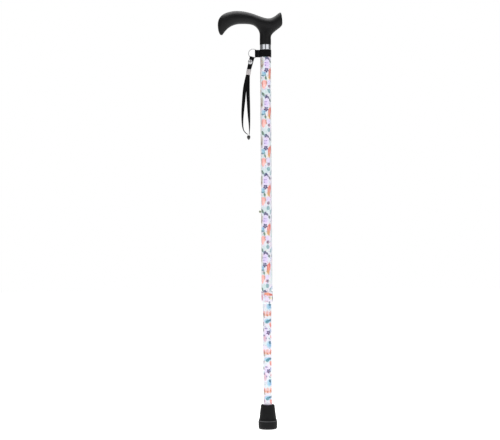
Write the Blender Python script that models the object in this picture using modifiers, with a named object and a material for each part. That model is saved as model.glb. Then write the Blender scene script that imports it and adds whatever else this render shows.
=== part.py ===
"""Adjustable single point cane with a derby handle and a wrist strap.

Metres, +Z up. The origin is the middle of the tip's base, on the axis of the tubes. The handle's nose,
the adjustment holes and the wrist strap are all on the -X side.
"""

import math

import bmesh
import bpy
from mathutils import Matrix, Vector

# ---- Driving dimensions, in metres ----------------------------------------------------------------
GAP = 0.0003

UPPER_R = 0.0111
UPPER_BORE_R = 0.00985
UPPER_BOTTOM_Z = 0.2680
UPPER_TOP_Z = 0.7843
LOWER_R = 0.009525
LOWER_BORE_R = 0.0083
LOWER_BOTTOM_Z = 0.0098
LOWER_TOP_Z = 0.4800
TUBE_EDGE = 0.0004
GLIDE_FLANGE = 0.0033
GLIDE_DEPTH = 0.0120

HOLE_PITCH = 0.0254
HOLE_R = 0.0034
HOLE_REACH = 0.0200
HOLE_STEPS = 20
HOLES_BELOW = 2
HOLES_ABOVE = 4
BUTTON_Z = 0.4492
BUTTON_R = 0.0030
BUTTON_TIP_X = -0.0155
BUTTON_FLANGE_X = -0.0070
BUTTON_FLANGE_R = 0.0039
BUTTON_FLANGE_THICK = 0.0012
BUTTON_DOME = 0.0012
SPRING_FAR_X = 0.0072
SPRING_BEND_DROP = 0.0240
SPRING_THICK = 0.0005
SPRING_HALF_WIDE = 0.0029

NUT_BOTTOM_Z = 0.2590
NUT_TOP_Z = 0.2840
NUT_R = 0.0127
NUT_LIP_R = 0.0099
NUT_LIP_HEIGHT = 0.0032
COLLET_R = 0.0110
COLLET_SLIT_HALF = 0.0005

TIP_TOP_Z = 0.0503
TIP_BASE_R = 0.01975
TIP_SHOULDER_R = 0.0178
TIP_NECK_R = 0.0146
TIP_STEP_Z = 0.0184
TIP_BORE_R = LOWER_R + GAP
TIP_BORE_BOTTOM_Z = 0.0077
TREAD_RADII = (0.0068, 0.0098, 0.0128)
TREAD_DEPTH = 0.0012

NECK_BOTTOM_Z = 0.7950
SOCKET_TOP_Z = 0.8250
PLUG_R = 0.0095
PLUG_BOTTOM_Z = 0.7440
SCREW_R = 0.0025
SCREW_HEAD_R = 0.0042
SCREW_TOP_Z = 0.8380
SCREW_SLOT_HALF = 0.0005
SCREW_SEAT_Z = PLUG_BOTTOM_Z + 0.0060
CHROME_R = 0.01125

BAND_R = 0.0121
BAND_BORE_R = 0.01135
BAND_BOTTOM_Z = 0.7689
BAND_TOP_Z = 0.7840
BAND_END_X = -0.0220
FOLD_HALF = 0.0023
FOLD_NECK_HALF = 0.0021
FOLD_SLOT_HALF = 0.0015
FOLD_SLOT_X = (-0.0212, -0.0152)

RING_CENTRE = Vector((-0.0256, 0.0, 0.7765))
RING_MID_R = 0.0094
RING_HALF_RADIAL = 0.0006
RING_HALF_WIDE = 0.0007

STRAP_TILT = math.radians(15.0)
STRAP_PIVOT_R = 0.00883
TAB_LENGTH = 0.0237
TAB_WIDTH = 0.0090
TAB_HALF = 0.0024
TAB_SLOT_HALF = 0.0016
TAB_PINCH_HALF = 0.0013
SNAP_DROP = 0.0094
SNAP_OFFSET = -0.0012
SNAP_R = 0.0048
SNAP_HOLE_R = 0.0018
SNAP_INNER_R = 0.0038
CRIMP_TILT = math.radians(8.0)
CRIMP_LENGTH = 0.0115
CRIMP_WIDTH = 0.0094
CRIMP_HALF = 0.0025
CRIMP_DROP = 0.0010
CRIMP_EDGE = 0.0009

TAPE_WIDTH = 0.0074
TAPE_THICK = 0.0014
KNOT_CENTRE = Vector((-0.0358, 0.0, 0.6030))
KNOT_R = 0.0034
KNOT_HALF_LENGTH = 0.0048

# The wrist loop's two strands, from the crimp down to the knot: (x, y, z, twist in degrees)
LEFT_STRAND = [
    (-0.0366, -0.0009, 0.7322, 0.0),
    (-0.0388, -0.0010, 0.7220, 0.0),
    (-0.0412, -0.0012, 0.7120, 2.0),
    (-0.0433, -0.0014, 0.7020, 6.0),
    (-0.0449, -0.0016, 0.6890, 14.0),
    (-0.0461, -0.0017, 0.6760, 26.0),
    (-0.0472, -0.0017, 0.6640, 38.0),
    (-0.0481, -0.0016, 0.6520, 50.0),
    (-0.0485, -0.0014, 0.6410, 62.0),
    (-0.0484, -0.0012, 0.6310, 72.0),
    (-0.0474, -0.0010, 0.6225, 80.0),
    (-0.0452, -0.0009, 0.6165, 86.0),
    (-0.0420, -0.0009, 0.6125, 88.0),
    (-0.0392, -0.0009, 0.6103, 90.0),
    (-0.0374, -0.0009, 0.6092, 90.0),
]
RIGHT_STRAND = [
    (-0.0362, 0.0009, 0.7322, 0.0),
    (-0.0364, 0.0010, 0.7200, 0.0),
    (-0.0366, 0.0012, 0.7060, -3.0),
    (-0.0365, 0.0014, 0.6920, -12.0),
    (-0.0360, 0.0016, 0.6780, -24.0),
    (-0.0355, 0.0017, 0.6650, -36.0),
    (-0.0350, 0.0017, 0.6520, -48.0),
    (-0.0345, 0.0016, 0.6400, -60.0),
    (-0.0341, 0.0014, 0.6300, -72.0),
    (-0.0340, 0.0012, 0.6210, -80.0),
    (-0.0343, 0.0011, 0.6150, -86.0),
    (-0.0348, 0.0010, 0.6084, -90.0),
]
# Twist that turns each strand's flat to face +-Y at the crimp
LEFT_START_TWIST = 10.8
RIGHT_START_TWIST = -18.5

ROUND_STEPS = 40
COLLECTION_NAME = "single_point_cane"


# ---- Scene, materials and placing -----------------------------------------------------------------
def clear_scene():
    for thing in list(bpy.data.objects):
        bpy.data.objects.remove(thing, do_unlink=True)


def new_collection(name):
    collection = bpy.data.collections.new(name)
    bpy.context.scene.collection.children.link(collection)
    return collection


def new_material(name, colour, roughness, metallic=0.0):
    material = bpy.data.materials.new(name)
    material.use_nodes = True
    shader = material.node_tree.nodes["Principled BSDF"]
    shader.inputs["Base Color"].default_value = (*colour, 1.0)
    shader.inputs["Roughness"].default_value = roughness
    shader.inputs["Metallic"].default_value = metallic
    return material


def new_body(name, joint_place, parent=None, turn=None):
    """An empty on a joint's axis, which carries the pieces that move with that joint."""
    empty = bpy.data.objects.new(name, None)
    empty.empty_display_size = 0.01
    parts.objects.link(empty)
    matrix = Matrix.Translation(joint_place)
    if turn is not None:
        matrix = matrix @ turn
    parent_matrices[name] = matrix
    if parent is None:
        empty.matrix_world = matrix
    else:
        empty.parent = parent
        empty.matrix_local = parent_matrices[parent.name].inverted() @ matrix
    return empty


def settle(piece, body, material, world=None):
    """Puts a piece on its body, with its material and its place in the world."""
    matrix = piece.matrix_world.copy() if world is None else world
    piece.parent = body
    piece.matrix_local = parent_matrices[body.name].inverted() @ matrix
    piece.data.materials.clear()
    piece.data.materials.append(material)
    return piece


def shade_round(mesh, limit=35.0):
    mesh.shade_smooth()
    mesh.set_sharp_from_angle(angle=math.radians(limit))


# ---- Shape tools ----------------------------------------------------------------------------------
def turned(name, profile, steps=ROUND_STEPS, closed=True, collection=None):
    """A profile of (radius, z) points turned about Z; a closed profile makes a ring."""
    mesh = bpy.data.meshes.new(name)
    points = [(r, 0.0, z) for r, z in profile]
    edges = [(i, i + 1) for i in range(len(points) - 1)]
    if closed:
        edges.append((len(points) - 1, 0))
    mesh.from_pydata(points, edges, [])
    piece = bpy.data.objects.new(name, mesh)
    (collection or parts).objects.link(piece)
    screw = piece.modifiers.new("turn", "SCREW")
    screw.axis = "Z"
    screw.steps = steps
    screw.render_steps = steps
    screw.use_merge_vertices = True
    screw.merge_threshold = 0.00001
    screw.use_smooth_shade = True
    return piece


def flat_outline(name, loops, half_thickness):
    """Closed outlines in XY, the first one outside and the others holes, given a thickness in Z."""
    curve = bpy.data.curves.new(name, "CURVE")
    curve.dimensions = "2D"
    curve.fill_mode = "BOTH"
    curve.extrude = half_thickness
    for loop in loops:
        spline = curve.splines.new("POLY")
        spline.points.add(len(loop) - 1)
        for point, (x, y) in zip(spline.points, loop):
            point.co = (x, y, 0.0, 1.0)
        spline.use_cyclic_u = True
    piece = bpy.data.objects.new(name, curve)
    parts.objects.link(piece)
    return piece


def made_mesh(piece, merge=0.00002):
    """Turns a curve into a welded mesh object in the same place."""
    bpy.context.view_layer.update()
    graph = bpy.context.evaluated_depsgraph_get()
    mesh = bpy.data.meshes.new_from_object(piece.evaluated_get(graph))
    work = bmesh.new()
    work.from_mesh(mesh)
    bmesh.ops.remove_doubles(work, verts=work.verts, dist=merge)
    bmesh.ops.recalc_face_normals(work, faces=work.faces)
    work.to_mesh(mesh)
    work.free()
    solid = bpy.data.objects.new(piece.name, mesh)
    for collection in piece.users_collection:
        collection.objects.link(solid)
    solid.matrix_world = piece.matrix_world
    name = piece.name
    bpy.data.objects.remove(piece, do_unlink=True)
    solid.name = name
    return solid


def tape(name, route, start_twist, width, thick):
    """A flat woven tape along (x, y, z, twist in degrees) points, with rounded edges."""
    curve = bpy.data.curves.new(name, "CURVE")
    curve.dimensions = "3D"
    curve.fill_mode = "FULL"
    curve.twist_mode = "MINIMUM"
    curve.extrude = (width - thick) / 2
    curve.bevel_depth = thick / 2
    curve.bevel_resolution = 1
    curve.use_fill_caps = True
    spline = curve.splines.new("POLY")
    spline.points.add(len(route) - 1)
    for point, (x, y, z, twist) in zip(spline.points, route):
        point.co = (x, y, z, 1.0)
        point.tilt = math.radians(start_twist + twist)
    piece = bpy.data.objects.new(name, curve)
    parts.objects.link(piece)
    return made_mesh(piece)


def rod(name, start, end, radius, steps=24, collection=None):
    """A plain cylinder between two points."""
    start = Vector(start)
    end = Vector(end)
    mesh = bpy.data.meshes.new(name)
    work = bmesh.new()
    turn = (end - start).to_track_quat("Z", "Y").to_matrix().to_4x4()
    bmesh.ops.create_cone(
        work,
        cap_ends=True,
        segments=steps,
        radius1=radius,
        radius2=radius,
        depth=(end - start).length,
        matrix=Matrix.Translation((start + end) / 2) @ turn,
    )
    work.to_mesh(mesh)
    work.free()
    piece = bpy.data.objects.new(name, mesh)
    (collection or parts).objects.link(piece)
    return piece


def block(name, low, high, collection=None):
    """A plain box between two corners."""
    low = Vector(low)
    high = Vector(high)
    mesh = bpy.data.meshes.new(name)
    work = bmesh.new()
    scale = Matrix.Diagonal((*(high - low), 1.0))
    bmesh.ops.create_cube(work, size=1.0, matrix=Matrix.Translation((low + high) / 2) @ scale)
    work.to_mesh(mesh)
    work.free()
    piece = bpy.data.objects.new(name, mesh)
    (collection or parts).objects.link(piece)
    return piece


def cut(piece, cutter):
    cutter.hide_render = True
    cutter.display_type = "WIRE"
    boolean = piece.modifiers.new("cut_" + cutter.name, "BOOLEAN")
    boolean.operation = "DIFFERENCE"
    boolean.solver = "EXACT"
    boolean.object = cutter
    return boolean


def arc(cx, cy, radius, start, end, count):
    """Points along an arc, angles in degrees, both ends included."""
    points = []
    for i in range(count):
        angle = math.radians(start + (end - start) * i / (count - 1))
        points.append((cx + radius * math.cos(angle), cy + radius * math.sin(angle)))
    return points


def strip_outline(route, thick):
    """The closed outline of a thin strip that follows a route of (x, y) points."""
    left = []
    right = []
    for i, (x, y) in enumerate(route):
        ahead = Vector(route[min(i + 1, len(route) - 1)])
        behind = Vector(route[max(i - 1, 0)])
        way = (ahead - behind).normalized()
        across = Vector((-way.y, way.x)) * thick / 2
        left.append((x + across.x, y + across.y))
        right.append((x - across.x, y - across.y))
    return left + right[::-1]


# ---- Handle ---------------------------------------------------------------------------------------
# Sections across the grip from the nose to the rear spur: (top x, top z, bottom x, bottom z, half width)
GRIP_SECTIONS = [
    (-0.0936, 0.8152, -0.0893, 0.8142, 0.0032),
    (-0.0969, 0.8222, -0.0862, 0.8194, 0.0066),
    (-0.0987, 0.8335, -0.0806, 0.8260, 0.0102),
    (-0.0981, 0.8470, -0.0742, 0.8314, 0.0126),
    (-0.0895, 0.8581, -0.0672, 0.8350, 0.0138),
    (-0.0747, 0.8638, -0.0585, 0.8376, 0.0142),
    (-0.0575, 0.8658, -0.0480, 0.8380, 0.0140),
    (-0.0400, 0.8634, -0.0360, 0.8378, 0.0134),
    (-0.0250, 0.8592, -0.0222, 0.8358, 0.0128),
    (-0.0120, 0.8540, -0.0120, 0.8280, 0.0124),
    (0.0010, 0.8493, 0.0010, 0.8260, 0.0123),
    (0.0120, 0.8490, 0.0120, 0.8230, 0.0124),
    (0.0215, 0.8546, 0.0222, 0.8240, 0.0124),
    (0.0288, 0.8608, 0.0300, 0.8296, 0.0120),
    (0.0326, 0.8622, 0.0350, 0.8344, 0.0110),
    (0.0343, 0.8562, 0.0360, 0.8408, 0.0072),
]
NECK_FIRST = 8
NECK_LAST = 12
# Rings down the neck: (z at the nose side, z at the spur side, radius)
NECK_RINGS = [
    (0.8225, 0.8146, 0.0112),
    (0.8100, 0.8060, 0.0117),
    (0.8010, 0.8010, 0.0117),
    (0.7953, 0.7953, 0.0117),
    (0.7950, 0.7950, 0.0117),
]
SECTION_SWELL = 1.10
NECK_SWELL = 1.045


def grip_half_ring(work, section):
    """Five points down one side of the grip, the first and last on the plane of symmetry."""
    top_x, top_z, low_x, low_z, half_width = section
    top = Vector((top_x, 0.0, top_z))
    low = Vector((low_x, 0.0, low_z))
    middle = (top + low) / 2
    rise = (top - low) / 2 * SECTION_SWELL
    side = Vector((0.0, half_width * SECTION_SWELL, 0.0))
    ring = []
    for k in range(5):
        angle = math.radians(90 - 45 * k)
        point = middle + rise * math.sin(angle) + side * math.cos(angle)
        if k in (0, 4):
            point.y = 0.0
        ring.append(work.verts.new(point))
    return ring


def make_grip():
    """A coarse half cage, open at the plane of symmetry, mirrored and subdivided."""
    work = bmesh.new()
    rings = [grip_half_ring(work, section) for section in GRIP_SECTIONS]
    for i in range(len(rings) - 1):
        for k in range(4):
            if k == 3 and NECK_FIRST <= i < NECK_LAST:
                continue
            work.faces.new((rings[i][k], rings[i][k + 1], rings[i + 1][k + 1], rings[i + 1][k]))
    for ring in (rings[0], rings[-1]):
        work.faces.new((ring[0], ring[1], ring[2]))
        work.faces.new((ring[0], ring[2], ring[4]))
        work.faces.new((ring[2], ring[3], ring[4]))
    for i in range(NECK_FIRST + 1, NECK_LAST):
        work.verts.remove(rings[i][4])
    mouth = [rings[NECK_FIRST][4]]
    mouth += [rings[i][3] for i in range(NECK_FIRST, NECK_LAST + 1)]
    mouth += [rings[NECK_LAST][4]]
    for nose_z, spur_z, radius in NECK_RINGS:
        lower = []
        for k in range(len(mouth)):
            angle = math.radians(180 - 30 * k)
            share = (1 - math.cos(angle)) / 2
            z = spur_z + (nose_z - spur_z) * share
            y = radius * NECK_SWELL * math.sin(angle)
            if k in (0, len(mouth) - 1):
                y = 0.0
            lower.append(work.verts.new((radius * NECK_SWELL * math.cos(angle), y, z)))
        for k in range(len(mouth) - 1):
            work.faces.new((mouth[k], mouth[k + 1], lower[k + 1], lower[k]))
        mouth = lower
    work.faces.new(mouth)
    bmesh.ops.recalc_face_normals(work, faces=work.faces)
    mesh = bpy.data.meshes.new("handle_grip")
    work.to_mesh(mesh)
    work.free()
    piece = bpy.data.objects.new("handle_grip", mesh)
    parts.objects.link(piece)
    mirror = piece.modifiers.new("mirror", "MIRROR")
    mirror.use_axis = (False, True, False)
    mirror.merge_threshold = 0.00005
    soft = piece.modifiers.new("soften", "SUBSURF")
    soft.levels = 2
    soft.render_levels = 2
    socket = turned(
        "grip_socket",
        [
            (0.0, SCREW_TOP_Z + 0.0015),
            (SCREW_R + GAP, SCREW_TOP_Z + 0.0010),
            (SCREW_R + GAP, SOCKET_TOP_Z),
            (UPPER_BORE_R, SOCKET_TOP_Z),
            (UPPER_BORE_R, NECK_BOTTOM_Z - 0.004),
            (0.0, NECK_BOTTOM_Z - 0.004),
        ],
        closed=False,
        collection=cutters,
    )
    cut(piece, socket)
    foot = block("neck_foot", (-0.02, -0.02, UPPER_TOP_Z), (0.02, 0.02, NECK_BOTTOM_Z), cutters)
    cut(piece, foot)
    return piece


def make_plug():
    bore = SCREW_R + GAP
    head_bore = SCREW_HEAD_R + GAP
    return turned(
        "handle_plug",
        [
            (PLUG_R - 0.0008, SOCKET_TOP_Z - GAP),
            (PLUG_R, SOCKET_TOP_Z - GAP - 0.0008),
            (PLUG_R, PLUG_BOTTOM_Z + 0.0015),
            (PLUG_R - 0.0015, PLUG_BOTTOM_Z),
            (head_bore, PLUG_BOTTOM_Z),
            (head_bore, SCREW_SEAT_Z),
            (bore, SCREW_SEAT_Z),
            (bore, SOCKET_TOP_Z - GAP),
        ],
    )


def make_screw():
    head_bottom = PLUG_BOTTOM_Z + 0.002
    head_top = SCREW_SEAT_Z - GAP
    screw = turned(
        "handle_screw",
        [
            (0.0, SCREW_TOP_Z),
            (SCREW_R - 0.0012, SCREW_TOP_Z - 0.0012),
            (SCREW_R, SCREW_TOP_Z - 0.004),
            (SCREW_R, head_top),
            (SCREW_HEAD_R, head_top),
            (SCREW_HEAD_R, head_bottom + 0.0008),
            (SCREW_HEAD_R - 0.0010, head_bottom),
            (0.0, head_bottom),
        ],
        steps=24,
        closed=False,
    )
    slot_low = (-0.006, -SCREW_SLOT_HALF, head_bottom - 0.001)
    slot_high = (0.006, SCREW_SLOT_HALF, head_bottom + 0.0012)
    cut(screw, block("screw_slot", slot_low, slot_high, cutters))
    return screw


def make_chrome_ring():
    low = UPPER_TOP_Z + GAP
    high = NECK_BOTTOM_Z - GAP
    edge = 0.0004
    return turned(
        "chrome_ring",
        [
            (CHROME_R - edge, high),
            (CHROME_R, high - edge),
            (CHROME_R, low + edge),
            (CHROME_R - edge, low),
            (UPPER_BORE_R, low),
            (UPPER_BORE_R, high),
        ],
        steps=48,
    )


# ---- Tubes and height lock ------------------------------------------------------------------------
def make_upper_tube():
    tube = turned(
        "upper_tube",
        [
            (UPPER_R, UPPER_TOP_Z),
            (UPPER_R, UPPER_BOTTOM_Z + TUBE_EDGE),
            (UPPER_R - TUBE_EDGE, UPPER_BOTTOM_Z),
            (UPPER_BORE_R, UPPER_BOTTOM_Z),
            (UPPER_BORE_R, UPPER_TOP_Z),
        ],
        steps=48,
    )
    for i in range(-HOLES_BELOW, HOLES_ABOVE + 1):
        z = BUTTON_Z + i * HOLE_PITCH
        name = f"adjust_hole_{i + HOLES_BELOW}"
        cut(tube, rod(name, (-HOLE_REACH, 0.0, z), (0.0, 0.0, z), HOLE_R, HOLE_STEPS, cutters))
    return tube


def make_lower_tube():
    tube = turned(
        "lower_tube",
        [
            (LOWER_R, LOWER_TOP_Z),
            (LOWER_R, LOWER_BOTTOM_Z),
            (LOWER_BORE_R, LOWER_BOTTOM_Z),
            (LOWER_BORE_R, LOWER_TOP_Z),
        ],
    )
    start = (-HOLE_REACH, 0.0, BUTTON_Z)
    end = (0.0, 0.0, BUTTON_Z)
    cut(tube, rod("button_hole", start, end, HOLE_R, HOLE_STEPS, cutters))
    return tube


def make_glide_plug():
    return turned(
        "glide_plug",
        [
            (0.0, LOWER_TOP_Z + GLIDE_FLANGE),
            (UPPER_BORE_R - GAP - 0.0008, LOWER_TOP_Z + GLIDE_FLANGE),
            (UPPER_BORE_R - GAP, LOWER_TOP_Z + GLIDE_FLANGE - 0.0008),
            (UPPER_BORE_R - GAP, LOWER_TOP_Z + GAP),
            (LOWER_BORE_R - GAP, LOWER_TOP_Z + GAP),
            (LOWER_BORE_R - GAP, LOWER_TOP_Z - GLIDE_DEPTH + 0.0010),
            (LOWER_BORE_R - 0.0012, LOWER_TOP_Z - GLIDE_DEPTH),
            (0.0, LOWER_TOP_Z - GLIDE_DEPTH),
        ],
        closed=False,
    )


def make_button():
    """Turned about its own axis, which lies along -X; its origin is on that axis."""
    dome = BUTTON_DOME
    tip = -BUTTON_TIP_X
    flange = -BUTTON_FLANGE_X
    return turned(
        "snap_button",
        [
            (0.0, tip),
            (BUTTON_R * 0.55, tip - dome * 0.18),
            (BUTTON_R * 0.88, tip - dome * 0.55),
            (BUTTON_R, tip - dome),
            (BUTTON_R, flange),
            (BUTTON_FLANGE_R, flange),
            (BUTTON_FLANGE_R, flange - BUTTON_FLANGE_THICK),
            (0.0, flange - BUTTON_FLANGE_THICK),
        ],
        steps=24,
        closed=False,
    )


def make_spring():
    """A leaf bent to a V: one leg behind the button, the other on the tube's far wall."""
    near_x = BUTTON_FLANGE_X + BUTTON_FLANGE_THICK + GAP + SPRING_THICK / 2
    route = [(near_x, BUTTON_Z + 0.004), (near_x, BUTTON_Z - 0.004)]
    route += arc(0.0, BUTTON_Z - SPRING_BEND_DROP, 0.0022, 200, 340, 9)
    route += [(SPRING_FAR_X, BUTTON_Z - 0.006), (SPRING_FAR_X, BUTTON_Z + 0.004)]
    piece = flat_outline("button_spring", [strip_outline(route, SPRING_THICK)], SPRING_HALF_WIDE)
    piece.matrix_world = Matrix.Rotation(math.radians(90), 4, "X")
    return made_mesh(piece)


def make_compression_ring():
    bottom = NUT_BOTTOM_Z + NUT_LIP_HEIGHT + GAP + 0.0001
    ring = turned(
        "compression_ring",
        [
            (COLLET_R, UPPER_BOTTOM_Z - GAP),
            (COLLET_R, bottom + 0.0016),
            (COLLET_R - 0.0007, bottom),
            (LOWER_R + GAP, bottom),
            (LOWER_R + GAP, UPPER_BOTTOM_Z - GAP),
        ],
    )
    slit_low = (0.0, -COLLET_SLIT_HALF, bottom - 0.01)
    slit_high = (0.02, COLLET_SLIT_HALF, bottom + 0.02)
    cut(ring, block("ring_slit", slit_low, slit_high, cutters))
    return ring


def make_lock_nut():
    bore = UPPER_R + GAP
    return turned(
        "lock_nut",
        [
            (NUT_R - 0.0009, NUT_TOP_Z),
            (NUT_R - 0.0003, NUT_TOP_Z - 0.0008),
            (NUT_R - 0.0001, NUT_TOP_Z - 0.0060),
            (NUT_R, NUT_TOP_Z - 0.0120),
            (NUT_R - 0.0001, NUT_BOTTOM_Z + 0.0060),
            (NUT_R - 0.0004, NUT_BOTTOM_Z + 0.0028),
            (NUT_R - 0.0011, NUT_BOTTOM_Z + 0.0010),
            (NUT_R - 0.0018, NUT_BOTTOM_Z),
            (NUT_LIP_R, NUT_BOTTOM_Z),
            (NUT_LIP_R, NUT_BOTTOM_Z + NUT_LIP_HEIGHT),
            (bore, NUT_BOTTOM_Z + NUT_LIP_HEIGHT),
            (bore, NUT_TOP_Z),
        ],
        steps=48,
    )


# ---- Tip ------------------------------------------------------------------------------------------
def make_tip():
    """A rubber ferrule with a ring groove, a stepped skirt and three tread grooves in its base."""
    tread = []
    for inner in TREAD_RADII:
        tread += [(inner + 0.0014, 0.0), (inner + 0.0011, TREAD_DEPTH)]
        tread += [(inner + 0.0003, TREAD_DEPTH), (inner, 0.0)]
    tread = sorted(tread, key=lambda point: -point[0])
    profile = [
        (TIP_NECK_R - 0.0014, TIP_TOP_Z),
        (TIP_NECK_R - 0.0003, TIP_TOP_Z - 0.0006),
        (TIP_NECK_R, TIP_TOP_Z - 0.0018),
        (TIP_SHOULDER_R, TIP_STEP_Z + 0.0033),
        (TIP_SHOULDER_R + 0.0012, TIP_STEP_Z + 0.0012),
        (TIP_BASE_R - 0.0002, TIP_STEP_Z),
        (TIP_BASE_R - 0.0001, TIP_STEP_Z - 0.0018),
        (TIP_BASE_R - 0.0007, TIP_STEP_Z - 0.0024),
        (TIP_BASE_R - 0.0001, TIP_STEP_Z - 0.0030),
        (TIP_BASE_R, 0.0080),
        (TIP_BASE_R - 0.0003, 0.0030),
        (TIP_BASE_R - 0.0012, 0.0009),
        (TIP_BASE_R - 0.0030, 0.0),
    ]
    profile += tread
    profile += [
        (0.0, 0.0),
        (0.0, TIP_BORE_BOTTOM_Z),
        (TIP_BORE_R, TIP_BORE_BOTTOM_Z),
        (TIP_BORE_R, TIP_TOP_Z - 0.0035),
        (TIP_BORE_R + 0.0010, TIP_TOP_Z - 0.0005),
        (TIP_BORE_R + 0.0016, TIP_TOP_Z),
    ]
    return turned("rubber_tip", profile, steps=36)


def make_tip_washer():
    low = TIP_BORE_BOTTOM_Z + GAP
    high = LOWER_BOTTOM_Z - GAP
    radius = TIP_BORE_R - GAP
    profile = [(0.0, high), (radius, high), (radius, low), (0.0, low)]
    return turned("tip_washer", profile, steps=32, closed=False)


# ---- Wrist strap ----------------------------------------------------------------------------------
def make_keeper_band():
    """Webbing wrapped round the tube; its two layers are sewn together, then open in a flat fold."""
    arm = math.degrees(math.asin(FOLD_HALF / BAND_R)) + 9.0
    outside = arc(0.0, 0.0, BAND_R, 180 - arm, -180 + arm, 40)
    outside += [(-0.0140, -FOLD_NECK_HALF), (-0.0165, -FOLD_HALF)]
    outside += arc(BAND_END_X + FOLD_HALF, 0.0, FOLD_HALF, 270, 90, 11)
    outside += [(-0.0165, FOLD_HALF), (-0.0140, FOLD_NECK_HALF)]
    bore = arc(0.0, 0.0, BAND_BORE_R, 0, 351, 40)
    low_x, high_x = FOLD_SLOT_X
    slot = arc(low_x + FOLD_SLOT_HALF, 0.0, FOLD_SLOT_HALF, 90, 270, 9)
    slot += arc(high_x - FOLD_SLOT_HALF, 0.0, FOLD_SLOT_HALF, -90, 90, 9)
    half_height = (BAND_TOP_Z - BAND_BOTTOM_Z) / 2
    piece = flat_outline("keeper_band", [outside, bore, slot], half_height)
    piece.matrix_world = Matrix.Translation((0.0, 0.0, (BAND_TOP_Z + BAND_BOTTOM_Z) / 2))
    return made_mesh(piece)


def make_split_ring():
    edge = 0.0002
    inner = RING_MID_R - RING_HALF_RADIAL
    outer = RING_MID_R + RING_HALF_RADIAL
    half = RING_HALF_WIDE
    return turned(
        "split_ring",
        [
            (outer - edge, half),
            (outer, half - edge),
            (outer, edge - half),
            (outer - edge, -half),
            (inner + edge, -half),
            (inner, edge - half),
            (inner, half - edge),
            (inner + edge, half),
        ],
        steps=48,
    )


def make_strap_tab():
    """Webbing folded over the ring; drawn in side view and given its width along the ring."""
    bottom = -TAB_LENGTH
    pinch = TAB_PINCH_HALF
    outside = arc(0.0, 0.0, TAB_HALF, 180, 0, 15)
    outside += [(TAB_HALF, -0.0150), (TAB_HALF - 0.0003, -0.0175), (pinch, -0.0205), (pinch, bottom)]
    outside += [(-pinch, bottom), (-pinch, -0.0205), (-TAB_HALF + 0.0003, -0.0175), (-TAB_HALF, -0.0150)]
    slot = arc(0.0, 0.0, TAB_SLOT_HALF, 0, 180, 15)
    slot += [(-TAB_SLOT_HALF, -0.0150), (-TAB_SLOT_HALF + 0.0004, -0.0168), (0.0, -0.0188)]
    slot += [(TAB_SLOT_HALF - 0.0004, -0.0168), (TAB_SLOT_HALF, -0.0150)]
    piece = flat_outline("strap_tab", [outside, slot], TAB_WIDTH / 2)
    # The drawing's x becomes the strap's Y, its y becomes Z, and its thickness runs along X.
    piece.matrix_world = Matrix(((0, 0, 1, 0), (1, 0, 0, 0), (0, 1, 0, 0), (0, 0, 0, 1)))
    tab = made_mesh(piece)
    near = (SNAP_OFFSET, -TAB_WIDTH, -SNAP_DROP)
    far = (SNAP_OFFSET, TAB_WIDTH, -SNAP_DROP)
    hole = rod("snap_hole", near, far, SNAP_HOLE_R, 16, cutters)
    cut(tab, hole)
    return tab, hole


def make_snap_parts():
    """Cap, socket, stud and back of a press stud, each turned about the stud's axis (local Z)."""
    post = SNAP_HOLE_R - GAP
    face = TAB_HALF + 0.0002
    inner = TAB_SLOT_HALF - 0.0002
    cap = turned(
        "snap_cap",
        [
            (0.0, face + 0.0020),
            (SNAP_R * 0.45, face + 0.0018),
            (SNAP_R * 0.80, face + 0.0011),
            (SNAP_R, face + 0.0003),
            (SNAP_R - 0.0002, face),
            (post, face),
            (post, inner + 0.0001),
            (0.0, inner + 0.0001),
        ],
        steps=24,
        closed=False,
    )
    socket = turned(
        "snap_socket",
        [
            (0.0, inner - 0.0001),
            (SNAP_INNER_R, inner - 0.0001),
            (SNAP_INNER_R, 0.0001),
            (0.0020, 0.0001),
            (0.0018, 0.0007),
            (0.0, 0.0007),
        ],
        steps=24,
        closed=False,
    )
    stud = turned(
        "snap_stud",
        [
            (0.0, 0.0005),
            (0.0014, 0.0004),
            (0.0014, -0.0003),
            (SNAP_INNER_R, -0.0003),
            (SNAP_INNER_R, 0.0001 - inner),
            (0.0, 0.0001 - inner),
        ],
        steps=24,
        closed=False,
    )
    back = turned(
        "snap_back",
        [
            (0.0, -inner - 0.0001),
            (post, -inner - 0.0001),
            (post, -face),
            (0.0036, -face),
            (0.0039, -face - 0.0004),
            (0.0034, -face - 0.0009),
            (0.0, -face - 0.0010),
        ],
        steps=24,
        closed=False,
    )
    return cap, socket, stud, back


def make_crimp():
    """A flattened metal sleeve, rounded at its edges."""
    crimp = block(
        "strap_crimp",
        (-CRIMP_WIDTH / 2, -CRIMP_HALF, -CRIMP_LENGTH),
        (CRIMP_WIDTH / 2, CRIMP_HALF, 0.0),
    )
    bevel = crimp.modifiers.new("edges", "BEVEL")
    bevel.width = CRIMP_EDGE
    bevel.segments = 2
    bevel.limit_method = "NONE"
    return crimp


def make_knot():
    """A moulded bead with a short tail below it."""
    half = KNOT_HALF_LENGTH
    profile = [
        (0.0, half),
        (KNOT_R * 0.50, half * 0.93),
        (KNOT_R * 0.86, half * 0.72),
        (KNOT_R, half * 0.40),
        (KNOT_R, -half * 0.05),
        (KNOT_R * 0.86, -half * 0.50),
        (KNOT_R * 0.50, -half * 0.82),
        (KNOT_R * 0.34, -half),
        (0.0, -half),
    ]
    return turned("loop_knot", profile, steps=20, closed=False)


# ---- Assembly -------------------------------------------------------------------------------------
clear_scene()
parts = new_collection(COLLECTION_NAME)
cutters = new_collection("cutters")
parent_matrices = {}

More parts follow.
